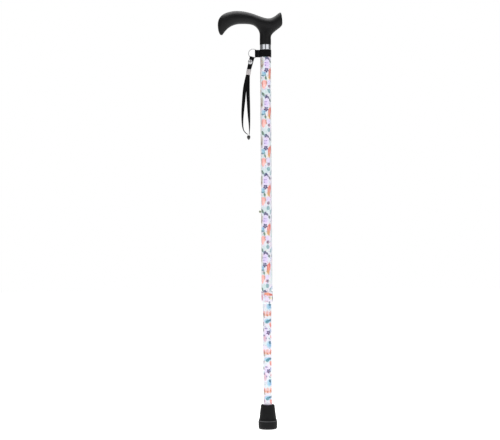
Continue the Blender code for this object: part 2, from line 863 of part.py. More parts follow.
soft_black = new_material("handle_soft_black", (0.012, 0.012, 0.013), 0.55)
nylon = new_material("white_nylon", (0.72, 0.72, 0.70), 0.45)
chrome = new_material("chrome", (0.82, 0.83, 0.85), 0.08, 1.0)
print_upper = new_material("printed_tube", (0.62, 0.55, 0.66), 0.35)
steel = new_material("zinc_steel", (0.60, 0.60, 0.58), 0.35, 1.0)
brass = new_material("button_metal", (0.42, 0.46, 0.38), 0.35, 1.0)
rubber = new_material("tip_rubber", (0.018, 0.018, 0.018), 0.75)
webbing = new_material("black_webbing", (0.010, 0.010, 0.011), 0.85)
ferrule = new_material("ferrule_metal", (0.52, 0.48, 0.48), 0.40, 1.0)

strap_pivot = RING_CENTRE + Vector(
    (-STRAP_PIVOT_R * math.sin(STRAP_TILT), 0.0, -STRAP_PIVOT_R * math.cos(STRAP_TILT))
)
cane = new_body("cane_body", Vector((0.0, 0.0, UPPER_BOTTOM_Z)))
lower = new_body("lower_section", Vector((0.0, 0.0, 0.0)), cane)
button_body = new_body("button_slide", Vector((0.0, 0.0, BUTTON_Z)), lower)
collet = new_body("collet_slide", Vector((0.0, 0.0, NUT_BOTTOM_Z)), cane)
nut_body = new_body("nut_turn", Vector((0.0, 0.0, NUT_BOTTOM_Z)), collet)
keeper = new_body("keeper_turn", Vector((0.0, 0.0, BAND_BOTTOM_Z)), cane)
ring_body = new_body("ring_turn", RING_CENTRE, keeper)
strap = new_body("strap_swing", strap_pivot, ring_body, Matrix.Rotation(STRAP_TILT, 4, "Y"))
strap_frame = parent_matrices["strap_swing"]

settle(make_grip(), cane, soft_black)
settle(make_plug(), cane, nylon)
settle(make_screw(), cane, steel)
settle(make_chrome_ring(), cane, chrome)
settle(make_upper_tube(), cane, print_upper)

settle(make_lower_tube(), lower, print_upper)
settle(make_glide_plug(), lower, nylon)
settle(make_spring(), lower, steel)
settle(make_tip(), lower, rubber)
settle(make_tip_washer(), lower, steel)
button_place = Matrix.Translation((0.0, 0.0, BUTTON_Z)) @ Matrix.Rotation(math.radians(-90), 4, "Y")
settle(make_button(), button_body, brass, button_place)

settle(make_compression_ring(), collet, nylon)
settle(make_lock_nut(), nut_body, print_upper)

band = make_keeper_band()
settle(band, keeper, webbing)
ring_place = Matrix.Translation(RING_CENTRE) @ Matrix.Rotation(math.radians(90), 4, "X")
settle(make_split_ring(), ring_body, chrome, ring_place)

tab, snap_hole = make_strap_tab()
settle(tab, strap, webbing, strap_frame @ tab.matrix_world)
snap_hole.matrix_world = strap_frame
snap_place = (
    strap_frame
    @ Matrix.Translation((SNAP_OFFSET, 0.0, -SNAP_DROP))
    @ Matrix.Rotation(math.radians(90), 4, "X")
)
for piece in make_snap_parts():
    settle(piece, strap, steel, snap_place)
crimp_place = (
    Matrix.Translation(strap_frame @ Vector((0.0, 0.0, -TAB_LENGTH - CRIMP_DROP)))
    @ Matrix.Rotation(CRIMP_TILT, 4, "Y")
)
settle(make_crimp(), strap, ferrule, crimp_place)
settle(tape("loop_left", LEFT_STRAND, LEFT_START_TWIST, TAPE_WIDTH, TAPE_THICK), strap, webbing)
settle(tape("loop_right", RIGHT_STRAND, RIGHT_START_TWIST, TAPE_WIDTH, TAPE_THICK), strap, webbing)
settle(make_knot(), strap, webbing, Matrix.Translation(KNOT_CENTRE))

for piece in parts.objects:
    if piece.type == "MESH":
        shade_round(piece.data)
bpy.context.view_layer.update()
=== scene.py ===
"""Single point cane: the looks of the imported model. Metres, +Z up, the same frame as the CAD."""

import math

import bmesh
import bpy
from mathutils import Matrix, Vector


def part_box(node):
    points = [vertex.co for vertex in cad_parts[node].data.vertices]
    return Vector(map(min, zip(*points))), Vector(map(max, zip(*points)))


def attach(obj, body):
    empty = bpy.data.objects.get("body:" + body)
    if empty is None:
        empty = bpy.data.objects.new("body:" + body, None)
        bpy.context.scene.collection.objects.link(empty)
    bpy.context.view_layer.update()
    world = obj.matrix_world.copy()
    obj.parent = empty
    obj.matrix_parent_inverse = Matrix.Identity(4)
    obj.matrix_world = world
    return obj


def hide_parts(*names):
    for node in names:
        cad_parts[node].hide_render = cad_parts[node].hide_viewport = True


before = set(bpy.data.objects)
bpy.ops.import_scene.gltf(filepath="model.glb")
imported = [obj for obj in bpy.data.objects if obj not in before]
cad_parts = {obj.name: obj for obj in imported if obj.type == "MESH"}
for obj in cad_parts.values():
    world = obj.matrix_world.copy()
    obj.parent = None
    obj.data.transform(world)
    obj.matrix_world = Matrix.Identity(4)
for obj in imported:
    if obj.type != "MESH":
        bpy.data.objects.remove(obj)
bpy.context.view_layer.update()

MM = 0.001

# ---- Upper tube -----------------------------------------------------------------------------------
# A drawn aluminium tube, 22.2 mm across, with a column of punched holes for the height button. A
# small watercolour flower print is wrapped round it and lacquered. The handle plugs into its top.
UPPER_R = 11.1 * MM
UPPER_BORE_R = 9.85 * MM
UPPER_LOW_Z, UPPER_HIGH_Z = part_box("upper_tube")[0].z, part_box("upper_tube")[1].z
BUTTON_Z = 449.2 * MM
HOLE_PITCH = 25.4 * MM
HOLE_R = 3.4 * MM


def clear_choice():
    bpy.ops.object.select_all(action="DESELECT")


def pick(*pieces):
    """Only these pieces are selected, and the first one is active."""
    clear_choice()
    for piece in pieces:
        piece.select_set(True)
    bpy.context.view_layer.objects.active = pieces[0]
    return pieces[0]


def choose(piece, kind, test):
    """In edit mode, selects only the faces, edges or points that pass the test."""
    bpy.ops.mesh.select_mode(type=kind)
    bpy.ops.mesh.select_all(action="DESELECT")
    work = bmesh.from_edit_mesh(piece.data)
    found = {"FACE": work.faces, "EDGE": work.edges, "VERT": work.verts}[kind]
    for item in found:
        if test(item):
            item.select_set(True)
    bmesh.update_edit_mesh(piece.data)


def tidy_mesh(merge=0.000005):
    """In edit mode, welds doubled points and turns the faces outwards."""
    bpy.ops.mesh.select_all(action="SELECT")
    bpy.ops.mesh.remove_doubles(threshold=merge)
    bpy.ops.mesh.normals_make_consistent(inside=False)


def apply_modifier(piece, kind, **settings):
    pick(piece)
    modifier = piece.modifiers.new(kind.lower(), kind)
    for name, value in settings.items():
        setattr(modifier, name, value)
    bpy.ops.object.modifier_apply(modifier=modifier.name)


def settle(piece, degrees=35):
    """Puts the piece's place into its mesh and shades it smooth up to that angle."""
    pick(piece)
    bpy.ops.object.transform_apply(location=True, rotation=True, scale=True)
    bpy.ops.object.shade_smooth_by_angle(angle=math.radians(degrees))
    return piece


def in_mm(profile):
    return [(r * MM, z * MM) for r, z in profile]


def lathe(name, profile, steps=96, closed=False):
    """A profile of (radius, z) points, drawn point by point and spun round Z."""
    clear_choice()
    bpy.ops.mesh.primitive_plane_add(size=MM)
    piece = bpy.context.object
    piece.name = name
    bpy.ops.object.mode_set(mode="EDIT")
    bpy.ops.mesh.select_mode(type="VERT")
    bpy.ops.mesh.select_all(action="SELECT")
    bpy.ops.mesh.merge(type="CENTER")
    bpy.ops.transform.translate(value=(profile[0][0], 0.0, profile[0][1]))
    for (r0, z0), (r1, z1) in zip(profile, profile[1:]):
        bpy.ops.mesh.extrude_vertices_move(TRANSFORM_OT_translate={"value": (r1 - r0, 0.0, z1 - z0)})
    if closed:
        bpy.ops.mesh.select_all(action="DESELECT")
        work = bmesh.from_edit_mesh(piece.data)
        for point in work.verts:
            point.select_set(len(point.link_edges) == 1)
        bmesh.update_edit_mesh(piece.data)
        bpy.ops.mesh.edge_face_add()
    bpy.ops.mesh.select_all(action="SELECT")
    bpy.ops.mesh.spin(steps=steps, angle=math.tau, center=(0, 0, 0), axis=(0, 0, 1))
    tidy_mesh()
    bpy.ops.object.mode_set(mode="OBJECT")
    return piece


def tube(name, bore_r, outer_r, low_z, high_z, top_edge, foot_edge):
    """A turned tube with both of its outer edges broken."""
    profile = [
        (bore_r, high_z), (outer_r - top_edge, high_z), (outer_r, high_z - top_edge),
        (outer_r, low_z + foot_edge), (outer_r - foot_edge, low_z), (bore_r, low_z),
    ]
    return lathe(name, profile, closed=True)


def drill(piece, radius, start, end):
    """Cuts a round hole from start to end."""
    start, end = Vector(start), Vector(end)
    way = end - start
    turn = way.to_track_quat("Z", "Y").to_euler()
    clear_choice()
    bpy.ops.mesh.primitive_cylinder_add(
        vertices=32, radius=radius, depth=way.length, location=(start + end) / 2, rotation=turn
    )
    drill_bit = bpy.context.object
    apply_modifier(piece, "BOOLEAN", object=drill_bit, operation="DIFFERENCE", solver="EXACT")
    bpy.data.objects.remove(drill_bit, do_unlink=True)


class Nodes:
    """Adds and joins nodes in a material or a group."""

    def __init__(self, tree):
        self.tree = tree

    def add(self, kind, *values, **settings):
        node = self.tree.nodes.new(kind)
        for name, value in settings.items():
            setattr(node, name, value)
        for socket, value in enumerate(values):
            self.put(node.inputs[socket], value)
        return node

    def put(self, socket, value):
        if isinstance(value, bpy.types.NodeSocket):
            self.tree.links.new(value, socket)
        elif isinstance(value, bpy.types.Node):
            self.tree.links.new(value.outputs[0], socket)
        elif socket.type == "RGBA" and len(value) == 3:
            socket.default_value = (*value, 1.0)
        else:
            socket.default_value = value

    def math(self, operation, *values, clamp=False):
        return self.add("ShaderNodeMath", *values, operation=operation, use_clamp=clamp).outputs[0]

    def vector(self, operation, *values):
        node = self.add("ShaderNodeVectorMath", *values, operation=operation)
        return node.outputs["Value" if operation in ("LENGTH", "DOT_PRODUCT", "DISTANCE") else "Vector"]

    def step(self, value, low, high, out_low=0.0, out_high=1.0):
        """A soft step between two values."""
        node = self.add("ShaderNodeMapRange", value, low, high, out_low, out_high)
        node.interpolation_type = "SMOOTHSTEP"
        return node.outputs[0]

    def mix(self, share, first, second):
        node = self.add("ShaderNodeMix", data_type="RGBA")
        self.put(node.inputs[0], share)
        self.put(node.inputs[6], first)
        self.put(node.inputs[7], second)
        return node.outputs[2]

    def named(self, kind, settings, **values):
        """A node whose sockets are filled by name."""
        node = self.add(kind, **settings)
        for socket, value in values.items():
            self.put(node.inputs[socket], value)
        return node

    def noise(self, place, scale, detail=2.0, rough=0.5, output="Fac"):
        values = {"Vector": place, "Scale": scale, "Detail": detail, "Roughness": rough}
        return self.named("ShaderNodeTexNoise", {}, **values).outputs[output]

    def group(self, name, **values):
        return self.named("ShaderNodeGroup", {"node_tree": bpy.data.node_groups[name]}, **values)

    def bump(self, shader, strength, distance, height):
        """Small relief on a shader's surface."""
        node = self.add("ShaderNodeBump", strength, distance)
        self.put(node.inputs["Height"], height)
        self.put(shader.inputs["Normal"], node)

    def mottle(self, shader, share, first, second, smooth, rough, low=0.3, high=0.7):
        """One pattern varies both the colour and the roughness of a shader."""
        self.put(shader.inputs["Base Color"], self.mix(share, first, second))
        self.put(shader.inputs["Roughness"], self.step(share, low, high, smooth, rough))


def srgb(r, g, b):
    """A colour as seen, from 0 to 255, in linear light."""
    return tuple(((c / 255 + 0.055) / 1.055) ** 2.4 if c > 10 else c / 255 / 12.92 for c in (r, g, b))


def new_group(name, ins, outs):
    """A shader node group; ins and outs are {name: (kind, value)} and {name: kind}."""
    tree = bpy.data.node_groups.new(name, "ShaderNodeTree")
    for label, (kind, value) in ins.items():
        socket = tree.interface.new_socket(name=label, in_out="INPUT", socket_type="NodeSocket" + kind)
        socket.default_value = value
    for label, kind in outs.items():
        tree.interface.new_socket(name=label, in_out="OUTPUT", socket_type="NodeSocket" + kind)
    nodes = Nodes(tree)
    return nodes, nodes.add("NodeGroupInput"), nodes.add("NodeGroupOutput")


def new_material(name, colour, roughness, metallic=0.0, **sockets):
    """A material with its own node tools, its main shader and its Object coordinates."""
    material = bpy.data.materials.new(name)
    material.use_nodes = True
    material.diffuse_color = (*colour, 1.0)
    nodes = Nodes(material.node_tree)
    shader = material.node_tree.nodes["Principled BSDF"]
    nodes.put(shader.inputs["Base Color"], colour)
    nodes.put(shader.inputs["Roughness"], roughness)
    nodes.put(shader.inputs["Metallic"], metallic)
    for socket, value in sockets.items():
        nodes.put(shader.inputs[socket.replace("_", " ")], value)
    place = nodes.add("ShaderNodeTexCoord").outputs["Object"]
    return material, nodes, shader, place


def dress(piece, *materials):
    piece.data.materials.clear()
    for material in materials:
        piece.data.materials.append(material)
    return piece


# One brush mark of the print: its place on the wrapped sheet, with soft, pooled edges like wet paint.
MARK_SHAPES = ("blot", "leaf", "flower", "petal")
for shape in MARK_SHAPES:
    nodes, ins, outs = new_group(
        "print_" + shape,
        {
            "Ground": ("Color", (1.0, 1.0, 1.0, 1.0)),
            "Place": ("Vector", (0.0, 0.0, 0.0)),
            "Sheet": ("Vector", (1.0, 1.0, 1.0)),
            "Pigment": ("Float", 0.5),
            "Centre": ("Vector", (0.0, 0.0, 0.0)),
            "Turn": ("Float", 0.0),
            "Size": ("Vector", (1.0, 1.0, 1.0)),
            "Soft": ("Float", 0.3),
            "Ink": ("Color", (0.5, 0.5, 0.5, 1.0)),
            "Strength": ("Float", 0.8),
        },
        {"Colour": "Color"},
    )
    half_sheet = nodes.vector("MULTIPLY", ins.outputs["Sheet"], (0.5, 0.5, 0.5))
    minus_half = nodes.vector("MULTIPLY", ins.outputs["Sheet"], (-0.5, -0.5, -0.5))
    away = nodes.vector("SUBTRACT", ins.outputs["Place"], ins.outputs["Centre"])
    away = nodes.vector("WRAP", away, half_sheet, minus_half)
    back = nodes.math("MULTIPLY", ins.outputs["Turn"], -1.0)
    turned = nodes.named("ShaderNodeVectorRotate", {"rotation_type": "Z_AXIS"}, Vector=away, Angle=back)
    spread = nodes.vector("DIVIDE", turned.outputs[0], ins.outputs["Size"])
    parted = nodes.add("ShaderNodeSeparateXYZ", spread)
    if shape == "blot":
        reach = nodes.vector("LENGTH", spread)
    elif shape == "leaf":
        along = nodes.math("MULTIPLY", parted.outputs[0], parted.outputs[0])
        reach = nodes.math("ADD", nodes.math("ABSOLUTE", parted.outputs[1]), along)
    elif shape == "petal":
        narrow = nodes.math("MULTIPLY_ADD", parted.outputs[0], -0.26, 0.74)
        across = nodes.math("DIVIDE", parted.outputs[1], narrow)
        reach = nodes.vector("LENGTH", nodes.add("ShaderNodeCombineXYZ", parted.outputs[0], across))
    else:
        angle = nodes.math("ARCTAN2", parted.outputs[1], parted.outputs[0])
        lobes = nodes.math("ABSOLUTE", nodes.math("COSINE", nodes.math("MULTIPLY", angle, 2.5)))
        edge = nodes.math("MULTIPLY_ADD", lobes, 0.42, 0.58)
        reach = nodes.math("DIVIDE", nodes.vector("LENGTH", spread), edge)
    inside = nodes.math("SUBTRACT", 1.0, ins.outputs["Soft"])
    mask = nodes.step(reach, inside, 1.0, 1.0, 0.0)
    pooled = nodes.math("MULTIPLY", nodes.step(reach, 0.35, 0.95, 0.84, 1.1), ins.outputs["Pigment"])
    painted = nodes.math("MULTIPLY", mask, ins.outputs["Strength"])
    amount = nodes.math("MULTIPLY", painted, pooled, clamp=True)
    if shape == "flower":
        eye = nodes.step(nodes.vector("LENGTH", spread), 0.12, 0.3)
        amount = nodes.math("MULTIPLY", amount, nodes.math("MULTIPLY_ADD", eye, 0.35, 0.65))
    nodes.put(outs.inputs["Colour"], nodes.mix(amount, ins.outputs["Ground"], ins.outputs["Ink"]))


# Inks, as they dry on the pale ground coat
LAVENDER, LILAC = srgb(208, 190, 230), srgb(176, 156, 214)
VIOLET, INDIGO = srgb(112, 84, 152), srgb(46, 40, 96)
SKY, BLUE, TEAL, DEEP_TEAL = srgb(136, 186, 210), srgb(92, 132, 180), srgb(50, 116, 134), srgb(30, 74, 98)
MINT, SEA, GREEN, DARK_GREEN = srgb(186, 208, 207), srgb(92, 142, 148), srgb(66, 104, 80), srgb(38, 52, 50)
CREAM, OLIVE, OCHRE, BROWN = srgb(226, 218, 184), srgb(156, 148, 124), srgb(196, 144, 96), srgb(110, 82, 68)
PINK, PALE_PINK = srgb(236, 164, 156), srgb(250, 198, 192)
ROSE, WINE = srgb(196, 120, 146), srgb(108, 62, 96)
CORAL, ORANGE, RED, RUSSET = srgb(217, 124, 102), srgb(222, 144, 100), srgb(188, 70, 62), srgb(176, 104, 84)

SPECK_INKS = (LILAC, SEA, PINK, SKY, OLIVE, VIOLET, CREAM, TEAL, ROSE)

# Marks on one repeat of the upper tube's print, with one painted shade stripe first: (shape, degrees round
# from the front, drop in mm, turn in degrees, half length, half width, softness, ink, strength). Drop 0 is
# at the pair of dark leaves.
UPPER_MARKS = [
    # The first entry, a long olive stripe down the left side of the tube, is painted shade along that edge
    # and not part of the print.
    ("blot", -80, 40, 90, 42, 3.4, 0.8, OLIVE, 0.7),
    ("blot", 2, 12, 90, 15, 8.0, 0.7, LAVENDER, 1.0),
    ("blot", -4, 71, 0, 12, 9, 0.9, MINT, 1.0),
    ("blot", 27, 50, 90, 9, 5, 0.8, LAVENDER, 0.9),
    ("blot", -20, 42, 0, 7, 4, 0.9, MINT, 0.8),
    ("blot", -56, 11, 90, 15, 5.4, 0.6, OLIVE, 0.9),
    ("blot", -54, 16, 90, 4.0, 2.6, 0.6, BROWN, 0.9),
    ("blot", 150, 5, 70, 16, 9, 0.9, LAVENDER, 0.9),
    ("blot", -140, 44, 90, 14, 9, 0.9, SKY, 0.8),
    ("blot", 175, 66, 20, 12, 8, 0.9, MINT, 0.9),
    ("blot", 92, 40, 90, 24, 6, 0.9, MINT, 0.9),
    ("petal", 42, 32, 97, 12.5, 6.4, 0.3, CORAL, 0.95),
    ("petal", 52, 25, 95, 8.5, 2.8, 0.5, RED, 0.75),
    ("petal", 30, 31, 86, 7.0, 2.0, 0.5, RED, 0.55),
    ("petal", 38, 40, 72, 7.4, 5.0, 0.5, OCHRE, 1.0),
    ("blot", 18, 42, 60, 4.4, 2.6, 0.6, CREAM, 0.95),
    ("petal", -28, 54.5, 95, 10.2, 7.8, 0.25, PINK, 1.0),
    ("petal", -50, 53, 90, 8.4, 2.2, 0.5, RUSSET, 0.8),
    ("petal", -1, 51, 84, 6.6, 2.2, 0.5, RUSSET, 0.8),
    ("blot", -22, 57, 90, 5.6, 2.2, 0.7, PALE_PINK, 0.9),
    ("flower", -1, 25, 20, 5.6, 5.6, 0.2, INDIGO, 1.0),
    ("blot", -31, 31, 40, 6.0, 4.8, 0.5, SKY, 1.0),
    ("blot", -18, 30, 70, 3.0, 2.2, 0.6, BLUE, 0.8),
    ("leaf", -40, 36, 10, 5.6, 2.2, 0.4, TEAL, 0.95),
    ("leaf", -14, 35, 60, 3.4, 2.0, 0.5, SEA, 0.9),
    ("leaf", -9, 41.2, 75, 4.6, 2.4, 0.3, GREEN, 1.0),
    ("leaf", -3, -0.5, -60, 5.0, 2.8, 0.25, INDIGO, 1.0),
    ("leaf", 20, 0.8, 48, 4.4, 2.2, 0.25, INDIGO, 0.95),
    ("leaf", 46, 6.5, 60, 4.4, 2.5, 0.3, DARK_GREEN, 0.9),
    ("leaf", 64, 76, 100, 6.4, 2.4, 0.5, SEA, 0.8),
    ("blot", -12, 10, 20, 1.9, 1.5, 0.4, VIOLET, 0.85),
    ("blot", 6, 10, 0, 1.7, 1.3, 0.4, VIOLET, 0.75),
    ("blot", -12, 15, -10, 1.9, 1.6, 0.4, VIOLET, 0.85),
    ("blot", 6, 15, 30, 1.5, 1.2, 0.5, LILAC, 0.85),
    ("flower", 33, 58, 5, 4.0, 4.0, 0.25, WINE, 0.95),
    ("blot", 32, 68, 80, 5.4, 4.2, 0.4, SEA, 0.9),
    ("leaf", -38, 74.5, 55, 6.0, 3.0, 0.3, GREEN, 1.0),
    ("leaf", -16, 78, -55, 3.4, 1.6, 0.4, SEA, 0.8),
    ("leaf", -72, 68, 80, 5.4, 2.2, 0.5, OLIVE, 0.85),
    ("petal", 128, 22, 80, 12.0, 7.6, 0.3, PINK, 1.0),
    ("petal", 146, 24, 102, 10.0, 3.2, 0.5, RUSSET, 0.75),
    ("petal", -112, 66, 88, 12.0, 7.2, 0.3, CORAL, 0.95),
    ("petal", -96, 68, 76, 8.0, 3.4, 0.5, OCHRE, 0.8),
    ("flower", 170, 50, 40, 5.6, 5.6, 0.2, INDIGO, 1.0),
    ("flower", -120, 18, 10, 5.4, 5.4, 0.2, VIOLET, 1.0),
    ("flower", 104, 72, 60, 5.0, 5.0, 0.2, BLUE, 1.0),
    ("blot", 178, 58, 50, 4.6, 3.6, 0.5, SKY, 0.95),
    ("leaf", -150, 30, 60, 5.6, 2.8, 0.3, GREEN, 1.0),
    ("leaf", -98, 36, -50, 5.0, 2.4, 0.3, TEAL, 0.95),
    ("leaf", 118, 48, 50, 5.4, 2.6, 0.3, OLIVE, 0.95),
    ("leaf", 92, 6, 110, 5.0, 2.4, 0.3, TEAL, 0.9),
    ("leaf", -170, 8, 40, 4.4, 2.2, 0.3, DARK_GREEN, 0.9),
    ("blot", 160, 78, 0, 1.9, 1.6, 0.4, WINE, 0.9),
    ("blot", -134, 4, 20, 1.9, 1.6, 0.4, VIOLET, 0.9),
    ("blot", 96, 36, 10, 1.9, 1.5, 0.4, RED, 0.8),
]

NO_DEPTH = 1000.0  # the print is flat, so this third size never counts
SPECK_RAGGED = 3.4 * MM
MARK_RAGGED_MM = 2.6


def printed_metal(name, radius, repeat, top_z, marks, drift=0.0):
    """Pale ground coat, small specks, the brush marks in order, and a clear lacquer over them."""
    material, nodes, shader, place = new_material(
        name, srgb(226, 222, 232), 0.32, Coat_Weight=0.15, Coat_Roughness=0.12, Specular_IOR_Level=0.45
    )
    parted = nodes.add("ShaderNodeSeparateXYZ", place)
    angle = nodes.math("ARCTAN2", parted.outputs[0], nodes.math("MULTIPLY", parted.outputs[1], -1.0))
    round_way = nodes.math("MULTIPLY", angle, radius / MM)
    drop = nodes.math("MULTIPLY", nodes.math("SUBTRACT", top_z, parted.outputs[2]), 1.0 / MM)
    round_way = nodes.math("MULTIPLY_ADD", drop, drift, round_way)
    sheet_place = nodes.add("ShaderNodeCombineXYZ", round_way, drop, 0.0).outputs[0]
    ragged = nodes.noise(place, 330.0, 3.0, 0.6, "Color")
    ragged = nodes.vector("SUBTRACT", ragged, (0.5, 0.5, 0.5))
    speck_shift = nodes.vector("MULTIPLY", ragged, (SPECK_RAGGED,) * 3)
    speck_place = nodes.vector("ADD", place, speck_shift)
    mark_shift = nodes.vector("MULTIPLY", ragged, (MARK_RAGGED_MM, MARK_RAGGED_MM, 0.0))
    sheet_place = nodes.vector("ADD", sheet_place, mark_shift)
    pigment = nodes.step(nodes.noise(place, 520.0, 4.0, 0.65), 0.3, 0.7, 0.78, 1.16)
    wash = nodes.noise(place, 95.0)
    colour = nodes.mix(nodes.step(wash, 0.38, 0.62), srgb(204, 213, 217), srgb(215, 207, 220))
    for speck_scale, inks in ((300.0, SPECK_INKS), (210.0, SPECK_INKS[::-1])):
        cells = nodes.named(
            "ShaderNodeTexVoronoi", {}, Vector=speck_place, Scale=speck_scale, Randomness=0.7
        )
        cell_tint = nodes.add("ShaderNodeSeparateColor", cells.outputs["Color"])
        ramp = nodes.add("ShaderNodeValToRGB", cell_tint.outputs[0])
        ramp.color_ramp.interpolation = "CONSTANT"
        stops = ramp.color_ramp.elements
        for step, ink in enumerate(inks):
            stop = stops[0] if step == 0 else stops.new(step / len(inks))
            stop.color = (*ink, 1.0)
        size = nodes.math("MULTIPLY_ADD", cell_tint.outputs[1], 0.36, 0.10)
        speck = nodes.step(nodes.math("DIVIDE", cells.outputs["Distance"], size), 0.55, 1.0, 1.0, 0.0)
        speck = nodes.math("MULTIPLY", nodes.math("MULTIPLY", speck, pigment), 0.7)
        colour = nodes.mix(speck, colour, ramp.outputs[0])
    sheet = (math.tau * radius / MM, repeat, NO_DEPTH)
    for shape, degrees, fall, turn, long, wide, soft, ink, strength in marks:
        mark = nodes.group(
            "print_" + shape,
            Ground=colour,
            Place=sheet_place,
            Sheet=sheet,
            Pigment=pigment,
            Centre=(math.radians(degrees) * radius / MM, fall, 0.0),
            Turn=math.radians(turn),
            Size=(long, wide, NO_DEPTH),
            Soft=soft,
            Ink=ink,
            Strength=strength,
        )
        colour = mark.outputs["Colour"]
    nodes.put(shader.inputs["Base Color"], colour)
    nodes.bump(shader, 0.06, 0.0002, nodes.noise(place, 600.0))
    return material


# The print repeats after so many mm, one repeat starts at this height, and it winds round a little
UPPER_REPEAT, UPPER_PRINT_Z, UPPER_DRIFT = 80.4, 605.4 * MM, 0.016
upper_print = printed_metal("upper_print", UPPER_R, UPPER_REPEAT, UPPER_PRINT_Z, UPPER_MARKS, UPPER_DRIFT)

bare_metal, nodes, shader, place = new_material("bare_aluminium", srgb(196, 198, 200), 0.35, 1.0)
drawn = nodes.noise(nodes.vector("MULTIPLY", place, (1.0, 1.0, 0.03)), 2600.0)
nodes.put(shader.inputs["Roughness"], nodes.step(drawn, 0.3, 0.7, 0.26, 0.46))

upper_tube = tube("tube_upper", UPPER_BORE_R, UPPER_R, UPPER_LOW_Z, UPPER_HIGH_Z, 0.3 * MM, 0.4 * MM)
for step in range(-2, 5):
    hole_z = BUTTON_Z + step * HOLE_PITCH
    drill(upper_tube, HOLE_R, (-20 * MM, 0, hole_z), (0, 0, hole_z))


def line_with_metal(piece, radius):
    """Gives bare metal to every face that lies inside the printed skin."""
    for face in piece.data.polygons:
        middle = face.center
        inside = math.hypot(middle.x, middle.y) < radius - 0.12 * MM
        rim = any(
            math.hypot(piece.data.vertices[i].co.x, piece.data.vertices[i].co.y) < radius - 0.2 * MM
            for i in face.vertices
        )
        face.material_index = 1 if inside or rim else 0


dress(upper_tube, upper_print, bare_metal)
line_with_metal(upper_tube, UPPER_R)
settle(upper_tube, 30)
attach(upper_tube, "cane")
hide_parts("upper_tube")

# ---- Lower tube and tip ---------------------------------------------------------------------------
# A second printed tube, 19 mm across, slides inside the upper one. A nylon glide plug closes its top
# and a rubber ferrule is pushed on its foot, with a steel washer inside that stops the tube's edge.
LOWER_R = 9.525 * MM
LOWER_BORE_R = 8.3 * MM
LOWER_LOW_Z, LOWER_HIGH_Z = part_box("lower_tube")[0].z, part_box("lower_tube")[1].z

LOWER_MARKS = [
    ("blot", -6, 58, 90, 12, 9, 0.9, LAVENDER, 0.9),
    ("blot", 28, 3.5, 90, 9.5, 7.4, 0.5, SKY, 1.0),
    ("blot", 33, 0, 70, 4.4, 3.2, 0.4, DEEP_TEAL, 1.0),
    ("blot", 38, 6, 20, 4.2, 3.0, 0.6, BLUE, 0.7),
    ("petal", -42, 19.5, 84, 7.0, 4.8, 0.4, CORAL, 0.75),
    ("petal", 0, 19, 92, 7.0, 4.8, 0.4, CORAL, 0.65),
    ("petal", 44, 19.5, 98, 7.0, 4.8, 0.4, CORAL, 0.8),
    ("petal", -20, 22, 20, 6.0, 3.4, 0.6, ORANGE, 0.75),
    ("petal", 24, 22, 150, 5.6, 3.2, 0.6, ORANGE, 0.8),
    ("blot", -43, 21, 80, 4.2, 2.0, 0.4, BROWN, 0.85),
    ("blot", 0, 22.5, 80, 3.2, 2.1, 0.5, RUSSET, 0.95),
    ("blot", 46, 21, 80, 4.4, 2.3, 0.5, RUSSET, 0.95),
    ("leaf", -42, 26, 50, 4.0, 2.2, 0.4, OLIVE, 0.95),
    ("blot", 5, 34.5, 0, 9.8, 5.8, 0.5, SKY, 1.0),
    ("leaf", 2, 35.5, -35, 5.8, 3.3, 0.3, TEAL, 1.0),
    ("leaf", 40, 33, -20, 4.6, 2.8, 0.3, DEEP_TEAL, 0.9),
    ("blot", -6, 38, 20, 3.4, 2.2, 0.6, SEA, 0.9),
    ("petal", 46, 43, 80, 6.2, 4.3, 0.3, CORAL, 0.95),
    ("petal", 48, 44, 95, 4.4, 1.9, 0.5, RED, 0.75),
    ("petal", -50, 40.5, 90, 5.0, 2.8, 0.4, WINE, 0.75),
    ("leaf", -16, 50, 10, 4.0, 2.0, 0.4, VIOLET, 0.9),
    ("leaf", -55, 53, 80, 4.4, 2.2, 0.4, DARK_GREEN, 0.85),
    ("blot", 48, 55, 90, 5.4, 3.4, 0.6, BLUE, 0.6),
    ("flower", 15, 58.7, 12, 5.4, 5.4, 0.2, INDIGO, 0.95),
    ("blot", 12, 60, 80, 2.4, 2.0, 0.5, WINE, 0.8),
    ("blot", -32, 71, 90, 8.6, 5.0, 0.5, ROSE, 0.6),
    ("blot", -44, 64.5, 30, 2.6, 2.1, 0.4, INDIGO, 0.85),
    ("blot", -14, 70, -20, 2.2, 1.8, 0.4, VIOLET, 0.9),
    ("blot", 50, 67, 90, 4.2, 2.4, 0.5, CORAL, 0.8),
    ("leaf", 30, 71, 40, 3.4, 1.7, 0.4, SEA, 0.85),
    ("petal", 150, 10, 80, 11.0, 7.0, 0.3, PINK, 1.0),
    ("petal", 132, 12, 66, 8.0, 2.8, 0.5, RUSSET, 0.75),
    ("petal", -126, 46, 92, 10.5, 6.6, 0.3, CORAL, 0.95),
    ("petal", -108, 48, 104, 7.5, 3.2, 0.5, OCHRE, 0.8),
    ("blot", 160, 48, 80, 11, 8, 0.9, LAVENDER, 0.9),
    ("flower", 160, 40, 30, 5.6, 5.6, 0.2, VIOLET, 1.0),
    ("flower", -130, 14, 10, 5.4, 5.4, 0.2, INDIGO, 1.0),
    ("flower", 118, 66, 50, 5.0, 5.0, 0.2, BLUE, 1.0),
    ("leaf", -158, 24, 60, 5.4, 2.7, 0.3, GREEN, 1.0),
    ("leaf", 104, 30, -50, 5.0, 2.4, 0.3, TEAL, 0.95),
    ("leaf", -92, 68, 50, 5.0, 2.4, 0.3, OLIVE, 0.95),
    ("leaf", 172, 62, 110, 4.6, 2.3, 0.3, TEAL, 0.9),
    ("blot", -150, 72, 0, 1.9, 1.6, 0.4, WINE, 0.9),
    ("blot", 96, 48, 10, 1.9, 1.5, 0.4, RED, 0.8),
]
LOWER_REPEAT, LOWER_PRINT_Z = 79.3, 258.0 * MM
lower_print = printed_metal("lower_print", LOWER_R, LOWER_REPEAT, LOWER_PRINT_Z, LOWER_MARKS)

